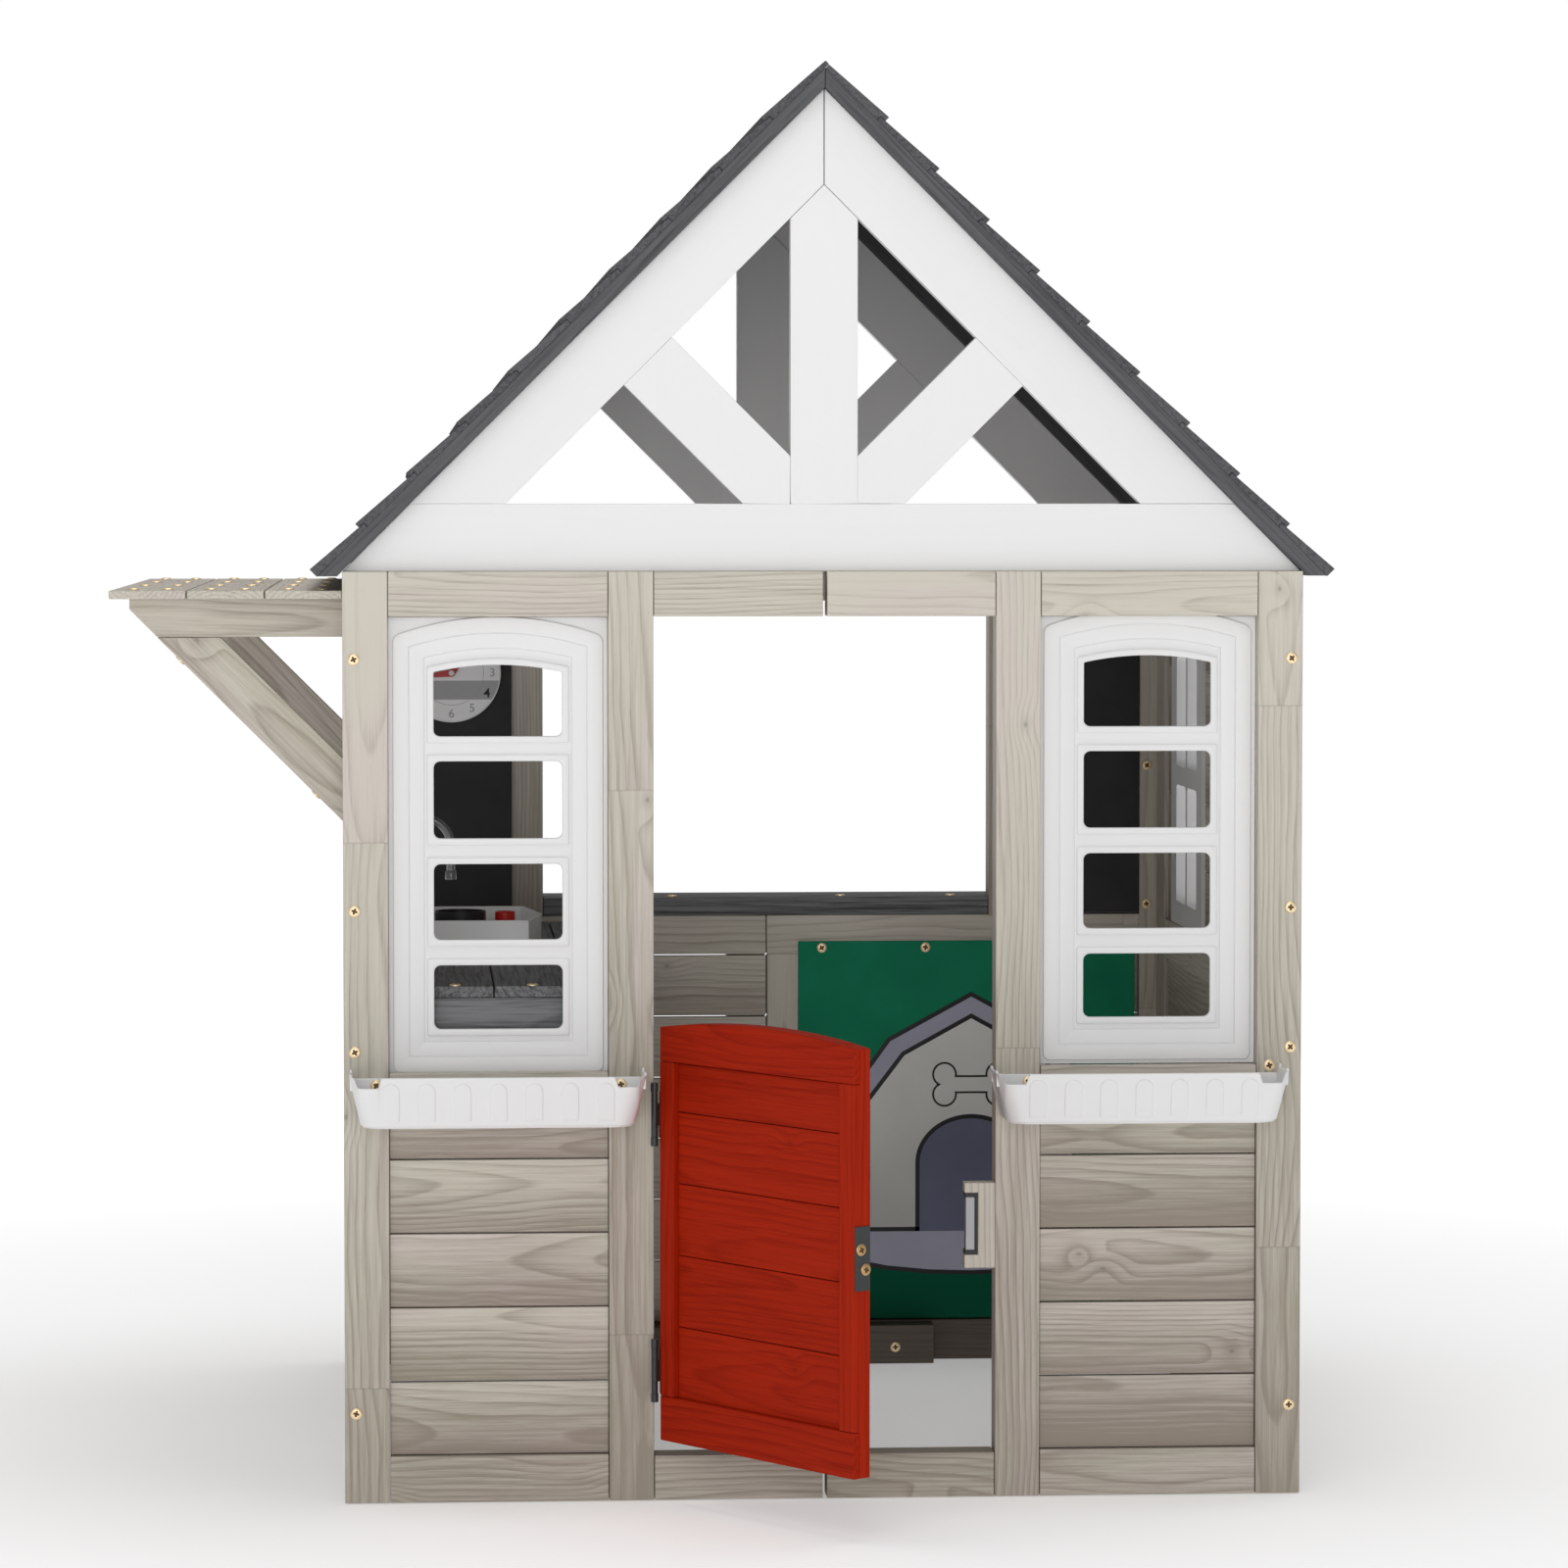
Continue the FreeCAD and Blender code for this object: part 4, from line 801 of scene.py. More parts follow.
# ------------------------------------------------------------------ flower troughs
@dataclass
class Planter:
    """Tapered trough: rounded front corners, scooped front rim, raised arches and two pairs of hooks."""

    node: str
    height: float = 51.4
    half_top: float = 150.5
    half_bottom: float = 138.75
    depth_top: float = 79.8
    depth_bottom: float = 71.8
    corner: float = 20.0
    wall: float = 2.5
    back_drop: float = 7.5
    arches: int = 7
    pitch: float = 36.2
    arch_half: float = 8.75
    relief: float = 1.0

    def build(self) -> bpy.types.Object:
        """Make the trough and its hooks."""
        shell = Shell()
        around, flat = self._path()
        rows = [self._row(around, flat, 0.0, self.wall * 0.2, 0.02)]
        rows += [self._row(around, flat, t, 0.0, 1.0) for t in np.linspace(0.0, 1.0, 58) ** 0.97]
        rows += [self._row(around, flat, 1.0, e, 1.0, lift)
                 for e, lift in ((0.5, 0.6), (1.25, 0.85), (2.0, 0.6))]
        rows += [self._row(around, flat, t, self.wall, 1.0) for t in np.linspace(1.0, 0.06, 6)]
        rows += [self._row(around, flat, 0.06, self.wall, 0.02)]
        shell.grid(np.stack(rows), False, True)
        shell.faces.append(tuple(range(len(around))))
        shell.faces.append(tuple(range(shell.count - len(around), shell.count)))
        shell.paints += [0, 0]
        for side in (-1.0, 1.0):
            for y in (-8.0, -58.0):
                self._hook(shell, side, y)
        return shell.make(f"{self.node}_tub", "house", [Paint.WHITE], "white_plastic", self.node)

    def _origin(self) -> np.ndarray:
        """Middle of the back edge at the trough's foot."""
        low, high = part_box(self.node)
        return np.array(((low.x + high.x) / 2.0, high.y, low.z))

    def _path(self) -> tuple[np.ndarray, np.ndarray]:
        """Unit path round the trough: directions as (across, forward) in -1..1 and 0..1, plus corner turns.

        Returns:
            The straight part of each point's place, and its share of the corner circle.
        """
        front = np.linspace(-1.0, 1.0, 420)
        turn = np.linspace(0.0, 0.25 * TAU, 14)[1:-1]
        side = np.linspace(0.0, 1.0, 26)
        back = np.linspace(1.0, -1.0, 60)[1:-1]
        one = np.ones_like
        straight = np.concatenate([np.stack([front, one(front)], 1), np.stack([one(turn), one(turn)], 1),
                                   np.stack([one(side), 1.0 - side], 1), np.stack([back, 0.0 * back], 1),
                                   np.stack([-one(side), side], 1), np.stack([-one(turn), one(turn)], 1)])
        arc = np.concatenate([np.stack([0 * front, one(front)], 1), np.stack([np.sin(turn), np.cos(turn)], 1),
                              np.stack([one(side), 0 * side], 1), np.stack([0 * back, 0 * back], 1),
                              np.stack([-one(side), 0 * side], 1), np.stack([-np.cos(turn), np.sin(turn)], 1)])
        return straight, arc

    def _row(self, straight: np.ndarray, arc: np.ndarray, t: float, inset: float, spread: float,
             lift: float = 0.0) -> np.ndarray:
        """One ring of the trough at share t of its height.

        The sides taper in a straight line. Place = straight part times the half size less the corner,
        plus the corner circle. The rim's height depends on where the ring is, and the front carries arches.
        """
        half = self.half_bottom + (self.half_top - self.half_bottom) * t - inset
        deep = self.depth_bottom + (self.depth_top - self.depth_bottom) * t - inset
        radius = self.corner - inset
        edge = np.abs(arc).max(axis=1) > 0.5
        x = straight[:, 0] * (half - radius) + np.where(edge, arc[:, 0] * radius, straight[:, 0] * radius)
        back = inset
        y = back + straight[:, 1] * (deep - radius - back) + arc[:, 1] * radius
        foot = np.clip((0.06 - t) / 0.06, 0.0, 1.0) * 2.5
        z = t * self._rim(x, y) + lift
        if inset == 0.0 and spread == 1.0:
            y = y + self._emboss(x, z) * smooth(0.9, 1.0, arc[:, 1])
        x = x * (1.0 - foot / self.half_bottom)
        y = np.where(y > deep / 2.0, y - foot, y)
        centre = np.array((0.0, deep / 2.0))
        x = centre[0] + (x - centre[0]) * spread
        y = centre[1] + (y - centre[1]) * spread
        if inset == self.wall:
            z = np.maximum(z, self.wall)
        return self._origin() + np.stack([x, -y, z], axis=1) * MM

    def _rim(self, x: np.ndarray, y: np.ndarray) -> np.ndarray:
        """Height of the rim: lower at the back, with a scoop near each end of the front."""
        scoop = smooth(14.5, 9.5, np.abs(np.abs(x) - 131.5)) * smooth(60.0, 66.0, y)
        return self.height - 10.5 * scoop - self.back_drop * smooth(14.0, 11.0, y)

    def _emboss(self, x: np.ndarray, z: np.ndarray) -> np.ndarray:
        """Height of the raised arches: a rectangle with a half circle on top, repeated at the pitch."""
        reach = self.pitch * (self.arches / 2.0)
        local = np.abs((x + reach) % self.pitch - self.pitch / 2.0)
        crown = 46.0 - self.arch_half
        outside = np.where(z > crown, np.hypot(local, z - crown), local) - self.arch_half
        foot = smooth(7.0, 8.2, z)
        return self.relief * smooth(0.45, -0.45, outside) * foot * (np.abs(x) < reach)

    def _hook(self, shell: Shell, side: float, y: float) -> None:
        """Small fin that rises from the end of the rim and leans outwards."""
        profile = np.array(((-1.6, 38.0), (1.0, 38.0), (1.3, 49.0), (1.9, 53.3), (1.2, 55.0), (-0.3, 53.8),
                            (-1.2, 49.0)))
        x = side * (self.half_top - 2.0 + profile[:, 0])
        outline_points = np.stack([x, np.full_like(x, y - 4.5), profile[:, 1]], axis=1)
        shell.prism(self._origin() + outline_points * MM, np.array((0.0, 9.0, 0.0)) * MM)


# ------------------------------------------------------------------ screws
@dataclass
class Screws:
    """Pan-head wood screws with a cross recess, where the frame has them."""

    node: str
    body: str = "house"
    paint: Paint = Paint.BRASS
    dome: float = 0.33
    recess: float = 0.26

    def build(self) -> bpy.types.Object:
        """Put a detailed head on every screw of the node."""
        mesh = merged_copy(self.node)
        points = points_of(mesh)
        label = islands(mesh)
        shell = Shell()
        head, recess = self._head()
        for number in range(label.max() + 1):
            shell.grid(self._stand(points[label == number], head, number), False, True)
            # Faces in the cross recess take the dark recess finish, a painted shade.
            shell.paints[-len(recess):] = recess
        bpy.data.meshes.remove(mesh)
        return shell.make(f"{self.node}_heads", self.body, [self.paint, Paint.RECESS], "brass_screw", self.node)

    def _head(self) -> tuple[np.ndarray, list[int]]:
        """Head and short shank as rows round an axis along Z, base at zero, for a head of radius 1.

        Over the top, height = dome times (1 - share to the fourth power of the radius), less a cross whose
        arms are two crossed slots with sloping sides.

        Returns:
            The rows of points, and for each face whether it lies in the recess.
        """
        around = np.linspace(0.0, TAU, 44, endpoint=False)
        share = np.linspace(0.0, 1.0, 19)[:, None] ** 0.9
        x = share * np.cos(around)
        y = share * np.sin(around)
        slot_a = smooth(0.19, 0.11, np.abs(x)) * smooth(0.56, 0.40, np.abs(y))
        slot_b = smooth(0.19, 0.11, np.abs(y)) * smooth(0.56, 0.40, np.abs(x))
        height = self.dome * (1.0 - 0.6 * share ** 6) - self.recess * np.maximum(slot_a, slot_b)
        top = np.stack([x, y, height], axis=-1)
        rings = ((1.0, 0.01), (0.97, 0.0), (0.33, 0.0), (0.33, -0.7), (0.0, -1.0))
        lower = [np.stack([r * np.cos(around), r * np.sin(around), np.full_like(around, z)], axis=-1)
                 for r, z in rings]
        inside = np.maximum(slot_a, slot_b)[:-1] > 0.3
        recess = np.concatenate([inside, np.zeros((len(rings), len(around)), dtype=bool)])
        return np.concatenate([top, np.stack(lower)]), recess.ravel().astype(int).tolist()

    def _stand(self, solid: np.ndarray, head: np.ndarray, number: int) -> np.ndarray:
        """Turn the head along the screw's own axis and move it onto its seat."""
        centre = solid.mean(axis=0)
        axis = np.linalg.svd(solid - centre, full_matrices=False)[2][0]
        along = (solid - centre) @ axis
        radius = np.linalg.norm(solid - centre - np.outer(along, axis), axis=1)
        if along[radius.argmax()] < 0.0:
            axis = -axis
            along = -along
        head_points = radius > radius.max() * 0.9
        seat = along[head_points].min()
        middle = solid[head_points].mean(axis=0)
        middle = middle + axis * (seat - (middle - centre) @ axis)
        turn = Matrix.Rotation(number * 2.4 + 0.4, 3, "Z")
        aim = Vector(axis).to_track_quat("Z", "X").to_matrix()
        return head * radius.max() @ np.array(aim @ turn).T + middle


# ------------------------------------------------------------------ clock
@dataclass
class Clock:
    """Play clock: dial with a grey band and a ring, printed numbers, and the hub over its hands."""

    radius: float = 58.5
    ring: float = 38.0
    band: tuple[float, float] = (-31.4, -9.1)
    numbers_at: float = 48.5
    dark_number: int = 4

    def build(self) -> None:
        """Make the dial and print it."""
        low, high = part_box("clock_dial")
        self.centre = np.array(((low.x + high.x) / 2.0, low.y, (low.z + high.z) / 2.0))
        shell = Shell()
        self._disc(shell)
        self._band(shell)
        self._line(shell, self.ring, 0.45)
        self._line(shell, self.radius - 1.2, 0.9)
        paints = [Paint.DIAL, Paint.DIAL_BAND, Paint.PRINT_GREY, Paint.WHITE]
        shell.make("clock_face_print", "house", paints, "clock_white", "clock_dial")
        for hour in range(1, 13):
            self._number(hour)

    def _put(self, x: np.ndarray, y: np.ndarray, z: np.ndarray) -> np.ndarray:
        """Dial millimetres, with y measured out of the dial, to metres."""
        return self.centre + np.stack([x, -y, z], axis=-1) * MM

    def _disc(self, shell: Shell) -> None:
        """Disc turned about its axis, from the back of the rim to the middle of the face."""
        around = np.linspace(0.0, TAU, 128, endpoint=False)
        profile = ((0.0, -4.0), (self.radius - 0.6, -4.0), (self.radius, -3.4), (self.radius, -0.6),
                   (self.radius - 0.2, -0.15), (self.radius - 0.6, 0.0), (0.0, 0.0))
        rows = [self._put(r * np.cos(around), np.full_like(around, y), r * np.sin(around)) for r, y in profile]
        shell.grid(np.stack(rows), False, True, 0)

    def _band(self, shell: Shell) -> None:
        """Band across the dial, its ends cut by the circle."""
        z = np.linspace(*self.band, 14)[:, None]
        reach = np.sqrt((self.radius - 1.7) ** 2 - z * z)
        x = np.linspace(-1.0, 1.0, 40)[None, :] * reach
        z = np.broadcast_to(z, x.shape)
        face = self._put(x, np.full_like(x, 0.12), z)
        back = self._put(x, np.full_like(x, -0.3), z)
        loop = np.concatenate([face[0], face[1:, -1], face[-1, -2::-1], face[-2:0:-1, 0]])
        behind = np.concatenate([back[0], back[1:, -1], back[-1, -2::-1], back[-2:0:-1, 0]])
        shell.prism(loop, (behind - loop)[0], 1)

    def _line(self, shell: Shell, radius: float, width: float) -> None:
        """Thin raised ring."""
        around = np.linspace(0.0, TAU, 128, endpoint=False)
        section = ((radius - width / 2, -0.2), (radius - width / 2, 0.2), (radius + width / 2, 0.2),
                   (radius + width / 2, -0.2))
        rows = [self._put(r * np.cos(around), np.full_like(around, y), r * np.sin(around)) for r, y in section]
        shell.grid(np.stack(rows), True, True, 2 if width < 0.6 else 3)

    def _number(self, hour: int) -> None:
        """Plain number at its hour."""
        dark = hour == self.dark_number
        curve = bpy.data.curves.new(f"number_{hour}", "FONT")
        curve.body = str(hour)
        curve.size = (15.5 if dark else 14.0) * MM
        curve.align_x = "CENTER"
        curve.align_y = "CENTER"
        curve.extrude = 0.12 * MM
        curve.offset = (0.25 if dark else 0.0) * MM
        letter = bpy.data.objects.new(f"number_{hour}", curve)
        bpy.context.scene.collection.objects.link(letter)
        bpy.context.view_layer.update()
        mesh = bpy.data.meshes.new_from_object(letter)
        bpy.data.objects.remove(letter)
        angle = 0.25 * TAU - hour * TAU / 12.0
        place = self._put(np.array(self.numbers_at * math.cos(angle)), np.array(0.18),
                          np.array(self.numbers_at * math.sin(angle)))
        mesh.transform(Matrix.Translation(Vector(place)) @ Matrix.Rotation(0.25 * TAU, 4, "X"))
        mesh.materials.clear()
        mesh.materials.append((Paint.INK if dark else Paint.PRINT_GREY).get())
        settle(bpy.data.objects.new(f"clock_number_{hour}", mesh), "house", "clock_white")


# ------------------------------------------------------------------ picture panel
@dataclass
class Picture:
    """Simple printed kennel on the green panel, as thin plates with black outlines."""

    centre: float = 245.0
    ground: float = 155.0
    relief: float = 0.3
    line: float = 5.2

    def build(self) -> bpy.types.Object:
        """Lay the picture's plates one over another."""
        self.face = (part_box("picture_panel")[0].y - HOUSE.front) / MM
        shell = Shell()
        roof = [(0.0, 436.0), (97.0, 383.0), (129.0, 339.0), (129.0, 304.0), (0.0, 304.0)]
        wall = [(0.0, 410.0), (80.0, 366.0), (121.0, 312.0), (121.0, self.ground), (0.0, self.ground)]
        base = [(0.0, self.ground), (130.0, self.ground), (130.0, 120.0), (100.0, 114.0), (50.0, 109.0),
                (0.0, 107.5)]
        layers = ((roof, 2, 1.0), (wall, 3, 1.5), (base, 2, 2.0), (self._doorway(61.7, 237.0, 53.0), 4, 2.0))
        for shape, paint, lift in layers:
            whole = self._mirror(np.array(shape))
            self._plate(shell, self._grow(whole, self.line), 1, lift - 0.25)
            self._plate(shell, whole, paint, lift)
        bone = self._mirror(self._bone()) + (0.0, 331.0)
        self._plate(shell, self._grow(bone, 2.4), 1, 1.8)
        self._plate(shell, bone, 3, 2.1)
        paints = [Paint.GREEN, Paint.INK, Paint.LILAC, Paint.STONE, Paint.SLATE]
        return shell.make("picture_print", "house", paints, "picture_green")

    def _doorway(self, half_width: float, spring: float, rise: float) -> np.ndarray:
        """Right half of a doorway with an elliptical head."""
        turn = np.linspace(0.25 * TAU, 0.0, 20)
        head = np.stack([half_width * np.cos(turn), spring + rise * np.sin(turn)], axis=1)
        return np.concatenate([head, [(half_width, self.ground), (0.0, self.ground)]])

    @staticmethod
    def _bone() -> np.ndarray:
        """Right half of a bone: a bar that ends in two round knobs, one above the other."""
        turn = np.linspace(math.radians(196.0), math.radians(-73.0), 26)
        knob = np.stack([32.0 + 12.5 * np.cos(turn), 12.0 + 12.5 * np.sin(turn)], axis=1)
        upper = np.concatenate([[(0.0, 8.4)], knob])
        return np.concatenate([upper, upper[::-1] * (1.0, -1.0)])

    @staticmethod
    def _mirror(right: np.ndarray) -> np.ndarray:
        """Whole outline from its right half, which starts and ends on the centre line."""
        left = right[-2:0:-1] * (-1.0, 1.0)
        return np.concatenate([right, left])

    @staticmethod
    def _grow(points: np.ndarray, width: float) -> np.ndarray:
        """Outline moved outwards by a width, along the mean of the two sides' normals at each corner."""
        ahead = np.roll(points, -1, axis=0) - points
        ahead = ahead / np.linalg.norm(ahead, axis=1, keepdims=True)
        before = np.roll(ahead, 1, axis=0)
        normal = np.stack([-(ahead + before)[:, 1], (ahead + before)[:, 0]], axis=1)
        normal = normal / np.linalg.norm(normal, axis=1, keepdims=True)
        share = np.clip((normal * np.stack([-ahead[:, 1], ahead[:, 0]], axis=1)).sum(axis=1), 0.5, 1.0)
        return points + normal * (width / share)[:, None]

    def _plate(self, shell: Shell, points: np.ndarray, paint: int, lift: float) -> None:
        """Plate of the given outline that stands proud of the panel by a share of its lift."""
        x = self.centre + points[:, 0]
        proud = lift * self.relief
        y = np.full_like(x, self.face - proud)
        corner = np.stack([x, y, points[:, 1]], axis=1) * MM + np.array((HOUSE.middle, HOUSE.front, 0.0))
        shell.prism(corner, np.array((0.0, proud * MM, 0.0)), paint)


# ------------------------------------------------------------------ counter fittings
@dataclass
class Faucet:
    """Swivelling gooseneck: a round tube bent through half a turn over a collar, with a wider outlet."""

    tube: float = 4.5
    spigot: float = 4.1
    spigot_length: float = 14.2
    outlet_drop: float = 28.0
    sides: int = 36

    def build(self) -> bpy.types.Object:
        """Carry circles along the spout's line."""
        low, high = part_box("faucet_spout")
        foot_x = low.x / MM + self.tube + 2.0
        outlet_x = high.x / MM - self.tube - 1.5
        arc = (outlet_x - foot_x) / 2.0
        middle = np.array(((low.y + high.y) / 2.0)) / MM
        top = high.z / MM - self.tube
        turn = np.linspace(math.pi, 0.0, 40)
        collar = low.z / MM + self.spigot_length
        line = [(foot_x, low.z / MM, self.spigot), (foot_x, collar - 0.5, self.spigot)]
        line += [(foot_x, collar + z, self.tube + r) for z, r in
                 ((0.0, 0.0), (0.1, 1.6), (0.5, 2.0), (4.4, 2.0), (5.0, 1.5), (5.6, 0.0))]
        bend = [(foot_x + arc + arc * math.cos(a), top - arc + arc * math.sin(a), self.tube) for a in turn]
        end = top - arc - self.outlet_drop
        tip = [(outlet_x, end + z, self.tube + r) for z, r in
               ((0.4, 0.0), (0.0, 1.2), (-0.6, 1.5), (-9.4, 1.5), (-10.0, 1.0), (-10.0, -1.2), (-6.0, -1.6))]
        stations = np.array(line + bend + tip)
        shell = Shell()
        shell.grid(self._tube(stations, middle), False, True)
        first = tuple(range(self.sides))
        last = tuple(range(shell.count - self.sides, shell.count))
        shell.faces += [first, last]
        shell.paints += [0, 0]
        return shell.make("faucet_gooseneck", "faucet", [Paint.GREY], "grey_plastic", "faucet_spout")

    def _tube(self, stations: np.ndarray, middle: float) -> np.ndarray:
        """Circle at each station (x, z, radius), square to the line at bends and level on the straights."""
        x, z, radius = stations.T
        step = np.stack([np.gradient(x), np.gradient(z)], axis=1)
        bent = (np.abs(step[:, 0]) > 0.05)[:, None]
        straight = np.where(x < x.mean(), 1.0, -1.0)[:, None] * np.array((0.0, 1.0))
        along = np.where(bent, step / (np.linalg.norm(step, axis=1, keepdims=True) + 1e-9), straight)
        side = np.stack([along[:, 1], -along[:, 0]], axis=1)
        around = np.linspace(0.0, TAU, self.sides, endpoint=False)
        px = x[:, None] + radius[:, None] * side[:, :1] * np.cos(around)
        pz = z[:, None] + radius[:, None] * side[:, 1:] * np.cos(around)
        py = middle + radius[:, None] * np.sin(around)
        return np.stack([px, py, pz], axis=-1) * MM


@dataclass
class PlainParts:
    """Frame nodes whose shape is right: they get their finish and rounded edges."""

    finishes: dict[str, tuple[Paint, float]] = field(default_factory=lambda: {
        "chalkboards": (Paint.CHALKBOARD, 0.8 * MM),
        "picture_panel": (Paint.GREEN, 0.8 * MM),
        "door_strike_plate": (Paint.BLACK_STEEL, 0.25 * MM),
        "jamb_hinge_leaves": (Paint.BLACK_STEEL, 0.2 * MM),
        "door_hinge_leaves": (Paint.BLACK_STEEL, 0.2 * MM),
        "hinge_pins": (Paint.BLACK_STEEL, 0.35 * MM),
        "magnet_catch_case": (Paint.BLACK, 0.5 * MM),
        "catch_magnet": (Paint.MAGNET, 0.5 * MM),
        "faucet_base": (Paint.GREY, 0.8 * MM),
        "sink_basin": (Paint.WHITE, 1.6 * MM),
        "play_pan": (Paint.BLACK, 0.8 * MM),
        "play_cup": (Paint.RED, 0.8 * MM),
        "clock_hour_hand": (Paint.RED, 0.25 * MM),
        "clock_minute_hand": (Paint.RED, 0.25 * MM),
        "clock_pin": (Paint.WHITE, 0.35 * MM)})

    def build(self) -> None:
        """Replace each node by a merged copy that takes rounded edges cleanly."""
        record = frame["record"]
        slots = {entry["node"]: entry["material_slot"] for entry in record["subparts"]}
        for node, (paint, radius) in self.finishes.items():
            mesh = merged_copy(node)
            mesh.materials.append(paint.get())
            piece = bpy.data.objects.new(f"{node}_finished", mesh)
            round_edges(settle(piece, frame["nodes"][node]["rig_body"], slots[node], node), radius)


# ------------------------------------------------------------------ studio
@dataclass
class Studio:
    """Pale floor, soft lights and the camera."""

    eye: tuple[float, float, float] = (-431.857, -5859.1, 1023.507)
    yaw: float = 0.0664
    pitch: float = 0.0487
    lens: float = 131.78
    floor: float = 60.0
    sky: float = 0.28

    def build(self) -> None:
        """Set up the floor, the lights and the camera."""
        self._floor()
        self._sky()
        self._lamp("front_softbox", (-0.7, -9.0, 1.5), (0.0, 0.0, 0.7), 3.6, 212.0)
        self._lamp("high_softbox", (-1.2, -4.2, 4.6), (0.0, 0.1, 0.8), 3.0, 40.0)
        self._lamp("top_softbox", (0.1, 0.3, 6.2), (0.0, 0.1, 0.8), 4.0, 150.0)
        self._camera()

    def _floor(self) -> None:
        """Plain floor a millimetre below the posts that glows, weakly near the house and strongly away from it,
        so that it fades to white away from the house; the glow is painted light.
        """
        graph = Graph("studio_floor")
        place = graph.add("ShaderNodeTexCoord", None, None, "Object")
        away = graph.add("ShaderNodeVectorMath", {"operation": "LENGTH"}, {0: place}, "Value")
        # Painted light: the floor's own glow, weak near the house and strong far from it.
        glow = graph.mix(away.step(0.7, 4.5), (0.30, 0.30, 0.30), (0.78, 0.78, 0.78))
        graph.set(Base_Color=(0.84, 0.84, 0.84), Roughness=0.9, Emission_Color=glow, Emission_Strength=1.0,
                  Specular_IOR_Level=0.0)
        half = self.floor
        mesh = bpy.data.meshes.new("floor")
        corners = [(-half, -half), (half, -half), (half, half), (-half, half)]
        mesh.from_pydata([(x, y, -1.0 * MM) for x, y in corners], [], [(0, 1, 2, 3)])
        mesh.materials.append(graph.material)
        floor = bpy.data.objects.new("floor", mesh)
        bpy.context.scene.collection.objects.link(floor)

    def _sky(self) -> None:
        """Even soft surroundings that look white behind the house."""
        world = bpy.data.worlds.new("studio")
        world.use_nodes = True
        tree = world.node_tree
        background = tree.nodes["Background"]
        seen = tree.nodes.new("ShaderNodeLightPath")
        power = tree.nodes.new("ShaderNodeMapRange")
        power.inputs["To Min"].default_value = self.sky
        power.inputs["To Max"].default_value = 1.0
        tree.links.new(seen.outputs["Is Camera Ray"], power.inputs["Value"])
        tree.links.new(power.outputs["Result"], background.inputs["Strength"])
        background.inputs["Color"].default_value = (1.0, 1.0, 1.0, 1.0)
        bpy.context.scene.world = world

    @staticmethod
    def _lamp(name: str, place: tuple, target: tuple, size: float, power: float) -> None:
        """Square softbox that looks at a target."""
        light = bpy.data.lights.new(name, "AREA")
        light.size = size
        light.energy = power
        lamp = bpy.data.objects.new(name, light)
        lamp.location = place
        lamp.rotation_euler = (Vector(target) - Vector(place)).to_track_quat("-Z", "Y").to_euler()
        bpy.context.scene.collection.objects.link(lamp)

    def _camera(self) -> None:
        """Camera before the left window, looking a little to the right and down."""
        data = bpy.data.cameras.new("camera")
        data.lens = self.lens
        data.sensor_width = 36.0
        data.clip_end = 200.0
        camera = bpy.data.objects.new("camera", data)
        camera.location = HOUSE.at(*self.eye)
        camera.rotation_euler = (0.25 * TAU - self.pitch, 0.0, -self.yaw)
        bpy.context.scene.collection.objects.link(camera)
        bpy.context.scene.camera = camera


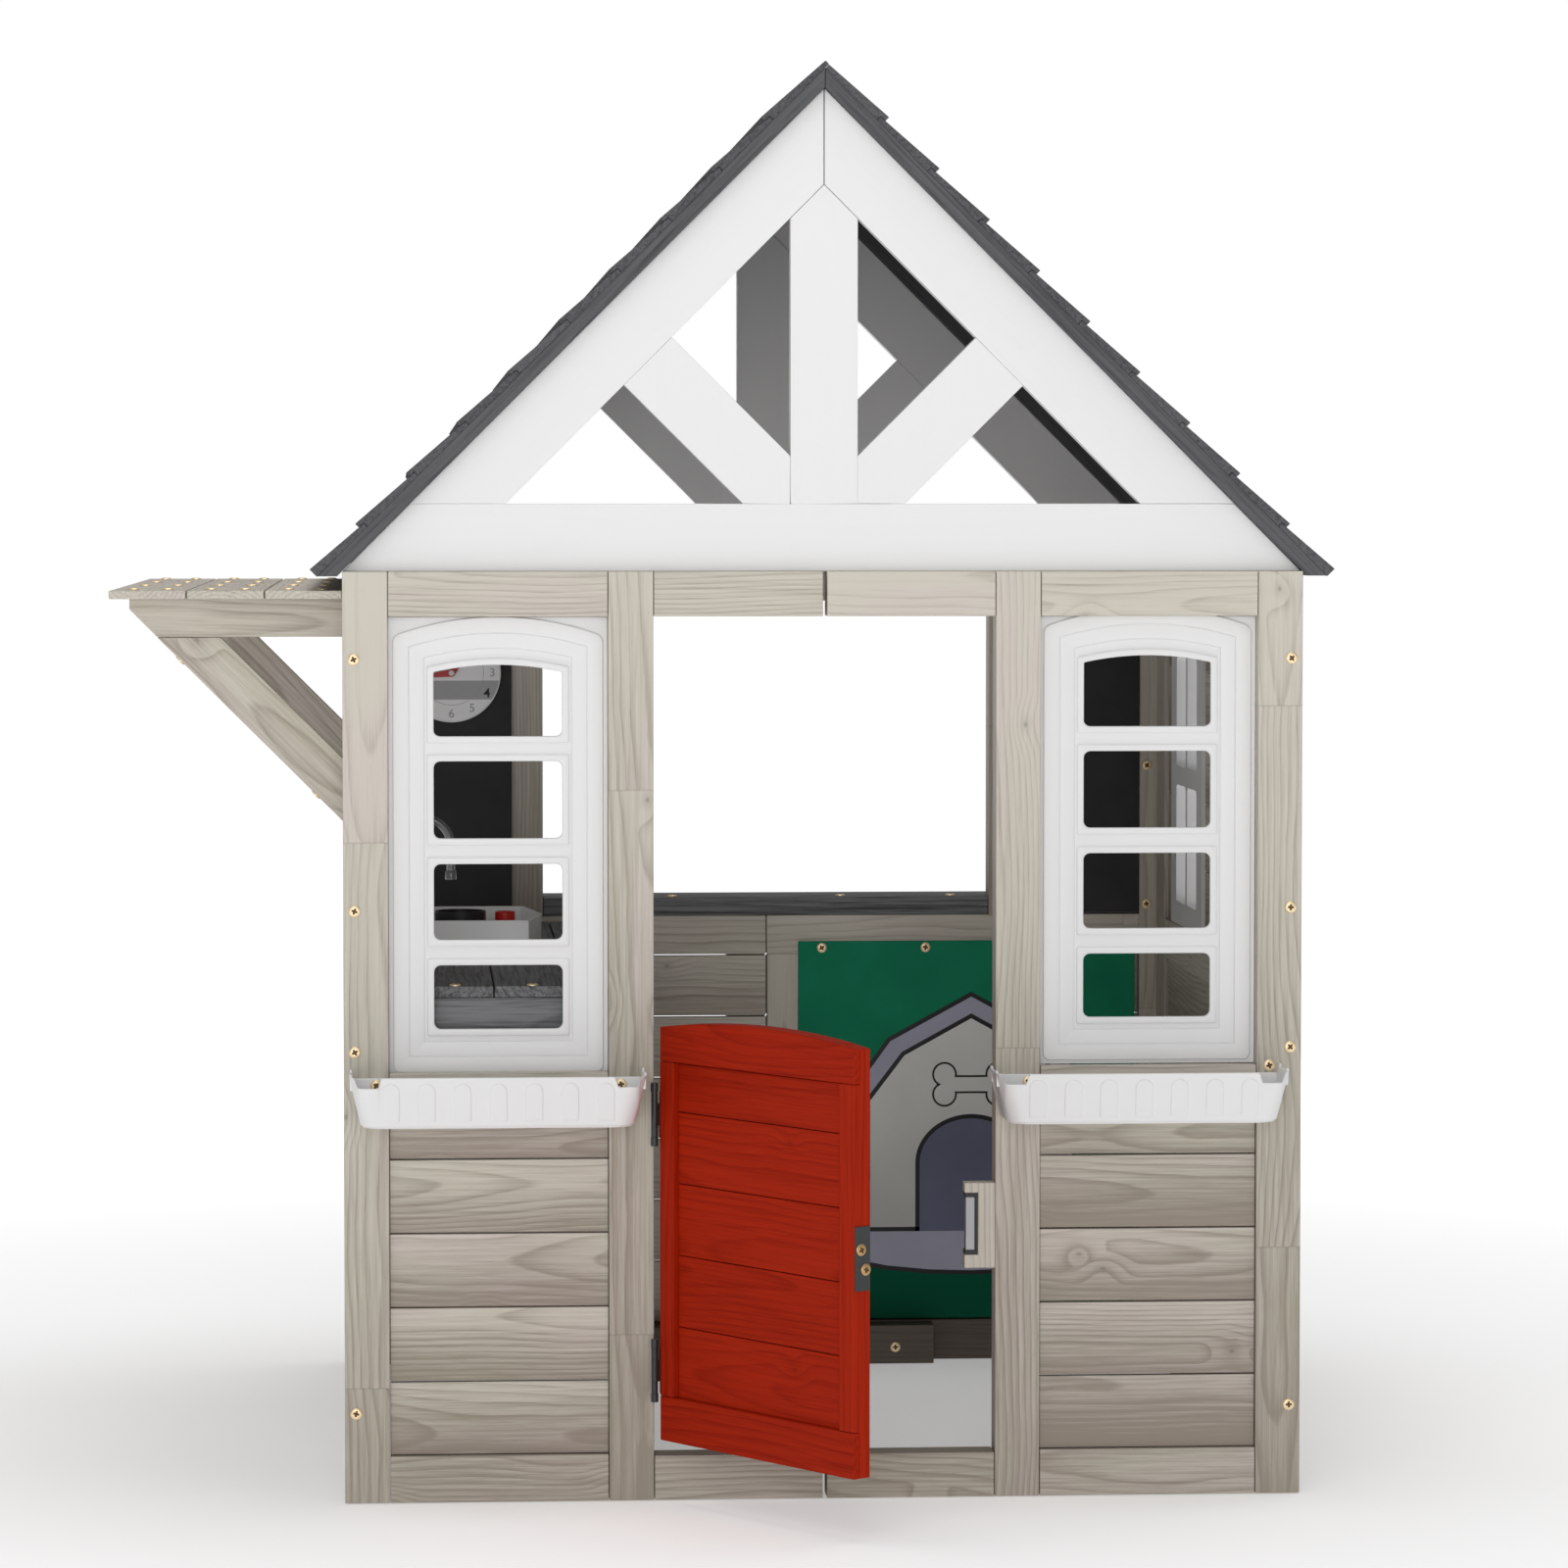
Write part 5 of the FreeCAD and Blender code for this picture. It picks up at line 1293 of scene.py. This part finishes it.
# ------------------------------------------------------------------ the whole
def timber() -> list[Boards]:
    """Every group of boards, with the finish it wears."""
    sides = ("front_left", "front_right", "left_wall", "right_wall", "back_wall")
    posts = tuple(f"{side}_posts" for side in sides)
    rails = tuple(f"{side}_rails" for side in sides if side != "back_wall")
    siding = tuple(f"{side}_siding" for side in sides if side != "back_wall")
    gables = tuple(f"gable_{side}_{part}" for side in ("front", "back")
                   for part in ("chord", "rafters", "webs"))
    return [
        # Painted shade: the posts' slope darkens them towards the ground, foot darkens the rails and siding
        # near it, and the back wall's rails take the near-black foot finish low down.
        Boards(Paint.POST, "frame_wood", posts, gap=0.0, seed=1, tone=0.8, slope=2.2),
        Boards(Paint.TIMBER, "frame_wood", rails, gap=0.7 * MM, seed=8, tone=0.1, foot=1.1),
        Boards(Paint.POST, "frame_wood", ("back_wall_rails",), gap=0.0, foot_paint=Paint.FOOT, seed=9,
               tone=0.2),
        Boards(Paint.TIMBER, "frame_wood", siding, gap=0.2 * MM, seed=7, tone=1.1, slope=1.5, foot=0.1),
        Boards(Paint.TIMBER, "frame_wood", ("back_wall_siding",), gap=-0.4 * MM, seed=11, tone=0.4, slope=1.2),
        Boards(Paint.TIMBER, "frame_wood", ("awning_slats", "awning_arms", "awning_braces", "catch_block"),
               seed=2),
        Boards(Paint.WHITE_TRIM, "trim_paint", gables, gap=0.4 * MM, edge=0.6 * MM, seed=3),
        Boards(Paint.ROOF, "roof_wood", ("roof_battens", "roof_left_shingles", "roof_right_shingles"), seed=4,
               edge=0.7 * MM, gap=0.2 * MM),
        Boards(Paint.COUNTER, "counter_wood", ("counter_slats", "counter_cleats", "serving_shelf"), seed=5),
        Boards(Paint.DOOR, "door_wood", ("door_stiles", "door_rails"), "door", gap=0.4 * MM, seed=6),
        Boards(Paint.DOOR, "door_wood", ("door_boards",), "door", gap=0.1 * MM, swell=0.45 * MM, seed=10)]


def main() -> None:
    """Build the playhouse piece by piece, then the studio."""
    bpy.context.scene.view_settings.view_transform = "Standard"
    Studio().build()
    for boards in timber():
        boards.build()
    for node in ("front_left_window", "front_right_window"):
        front_window(node).build()
    side_window("right_wall_window").build()
    for node in ("front_left_planter", "front_right_planter"):
        Planter(node).build()
    for node in ("wall_screws", "awning_screws", "fitting_screws"):
        Screws(node).build()
    # The door's screws take the darker brass as painted shade.
    Screws("door_screws", "door", Paint.BRONZE).build()
    Clock().build()
    Picture().build()
    Faucet().build()
    PlainParts().build()


if __name__ == "__main__":
    main()
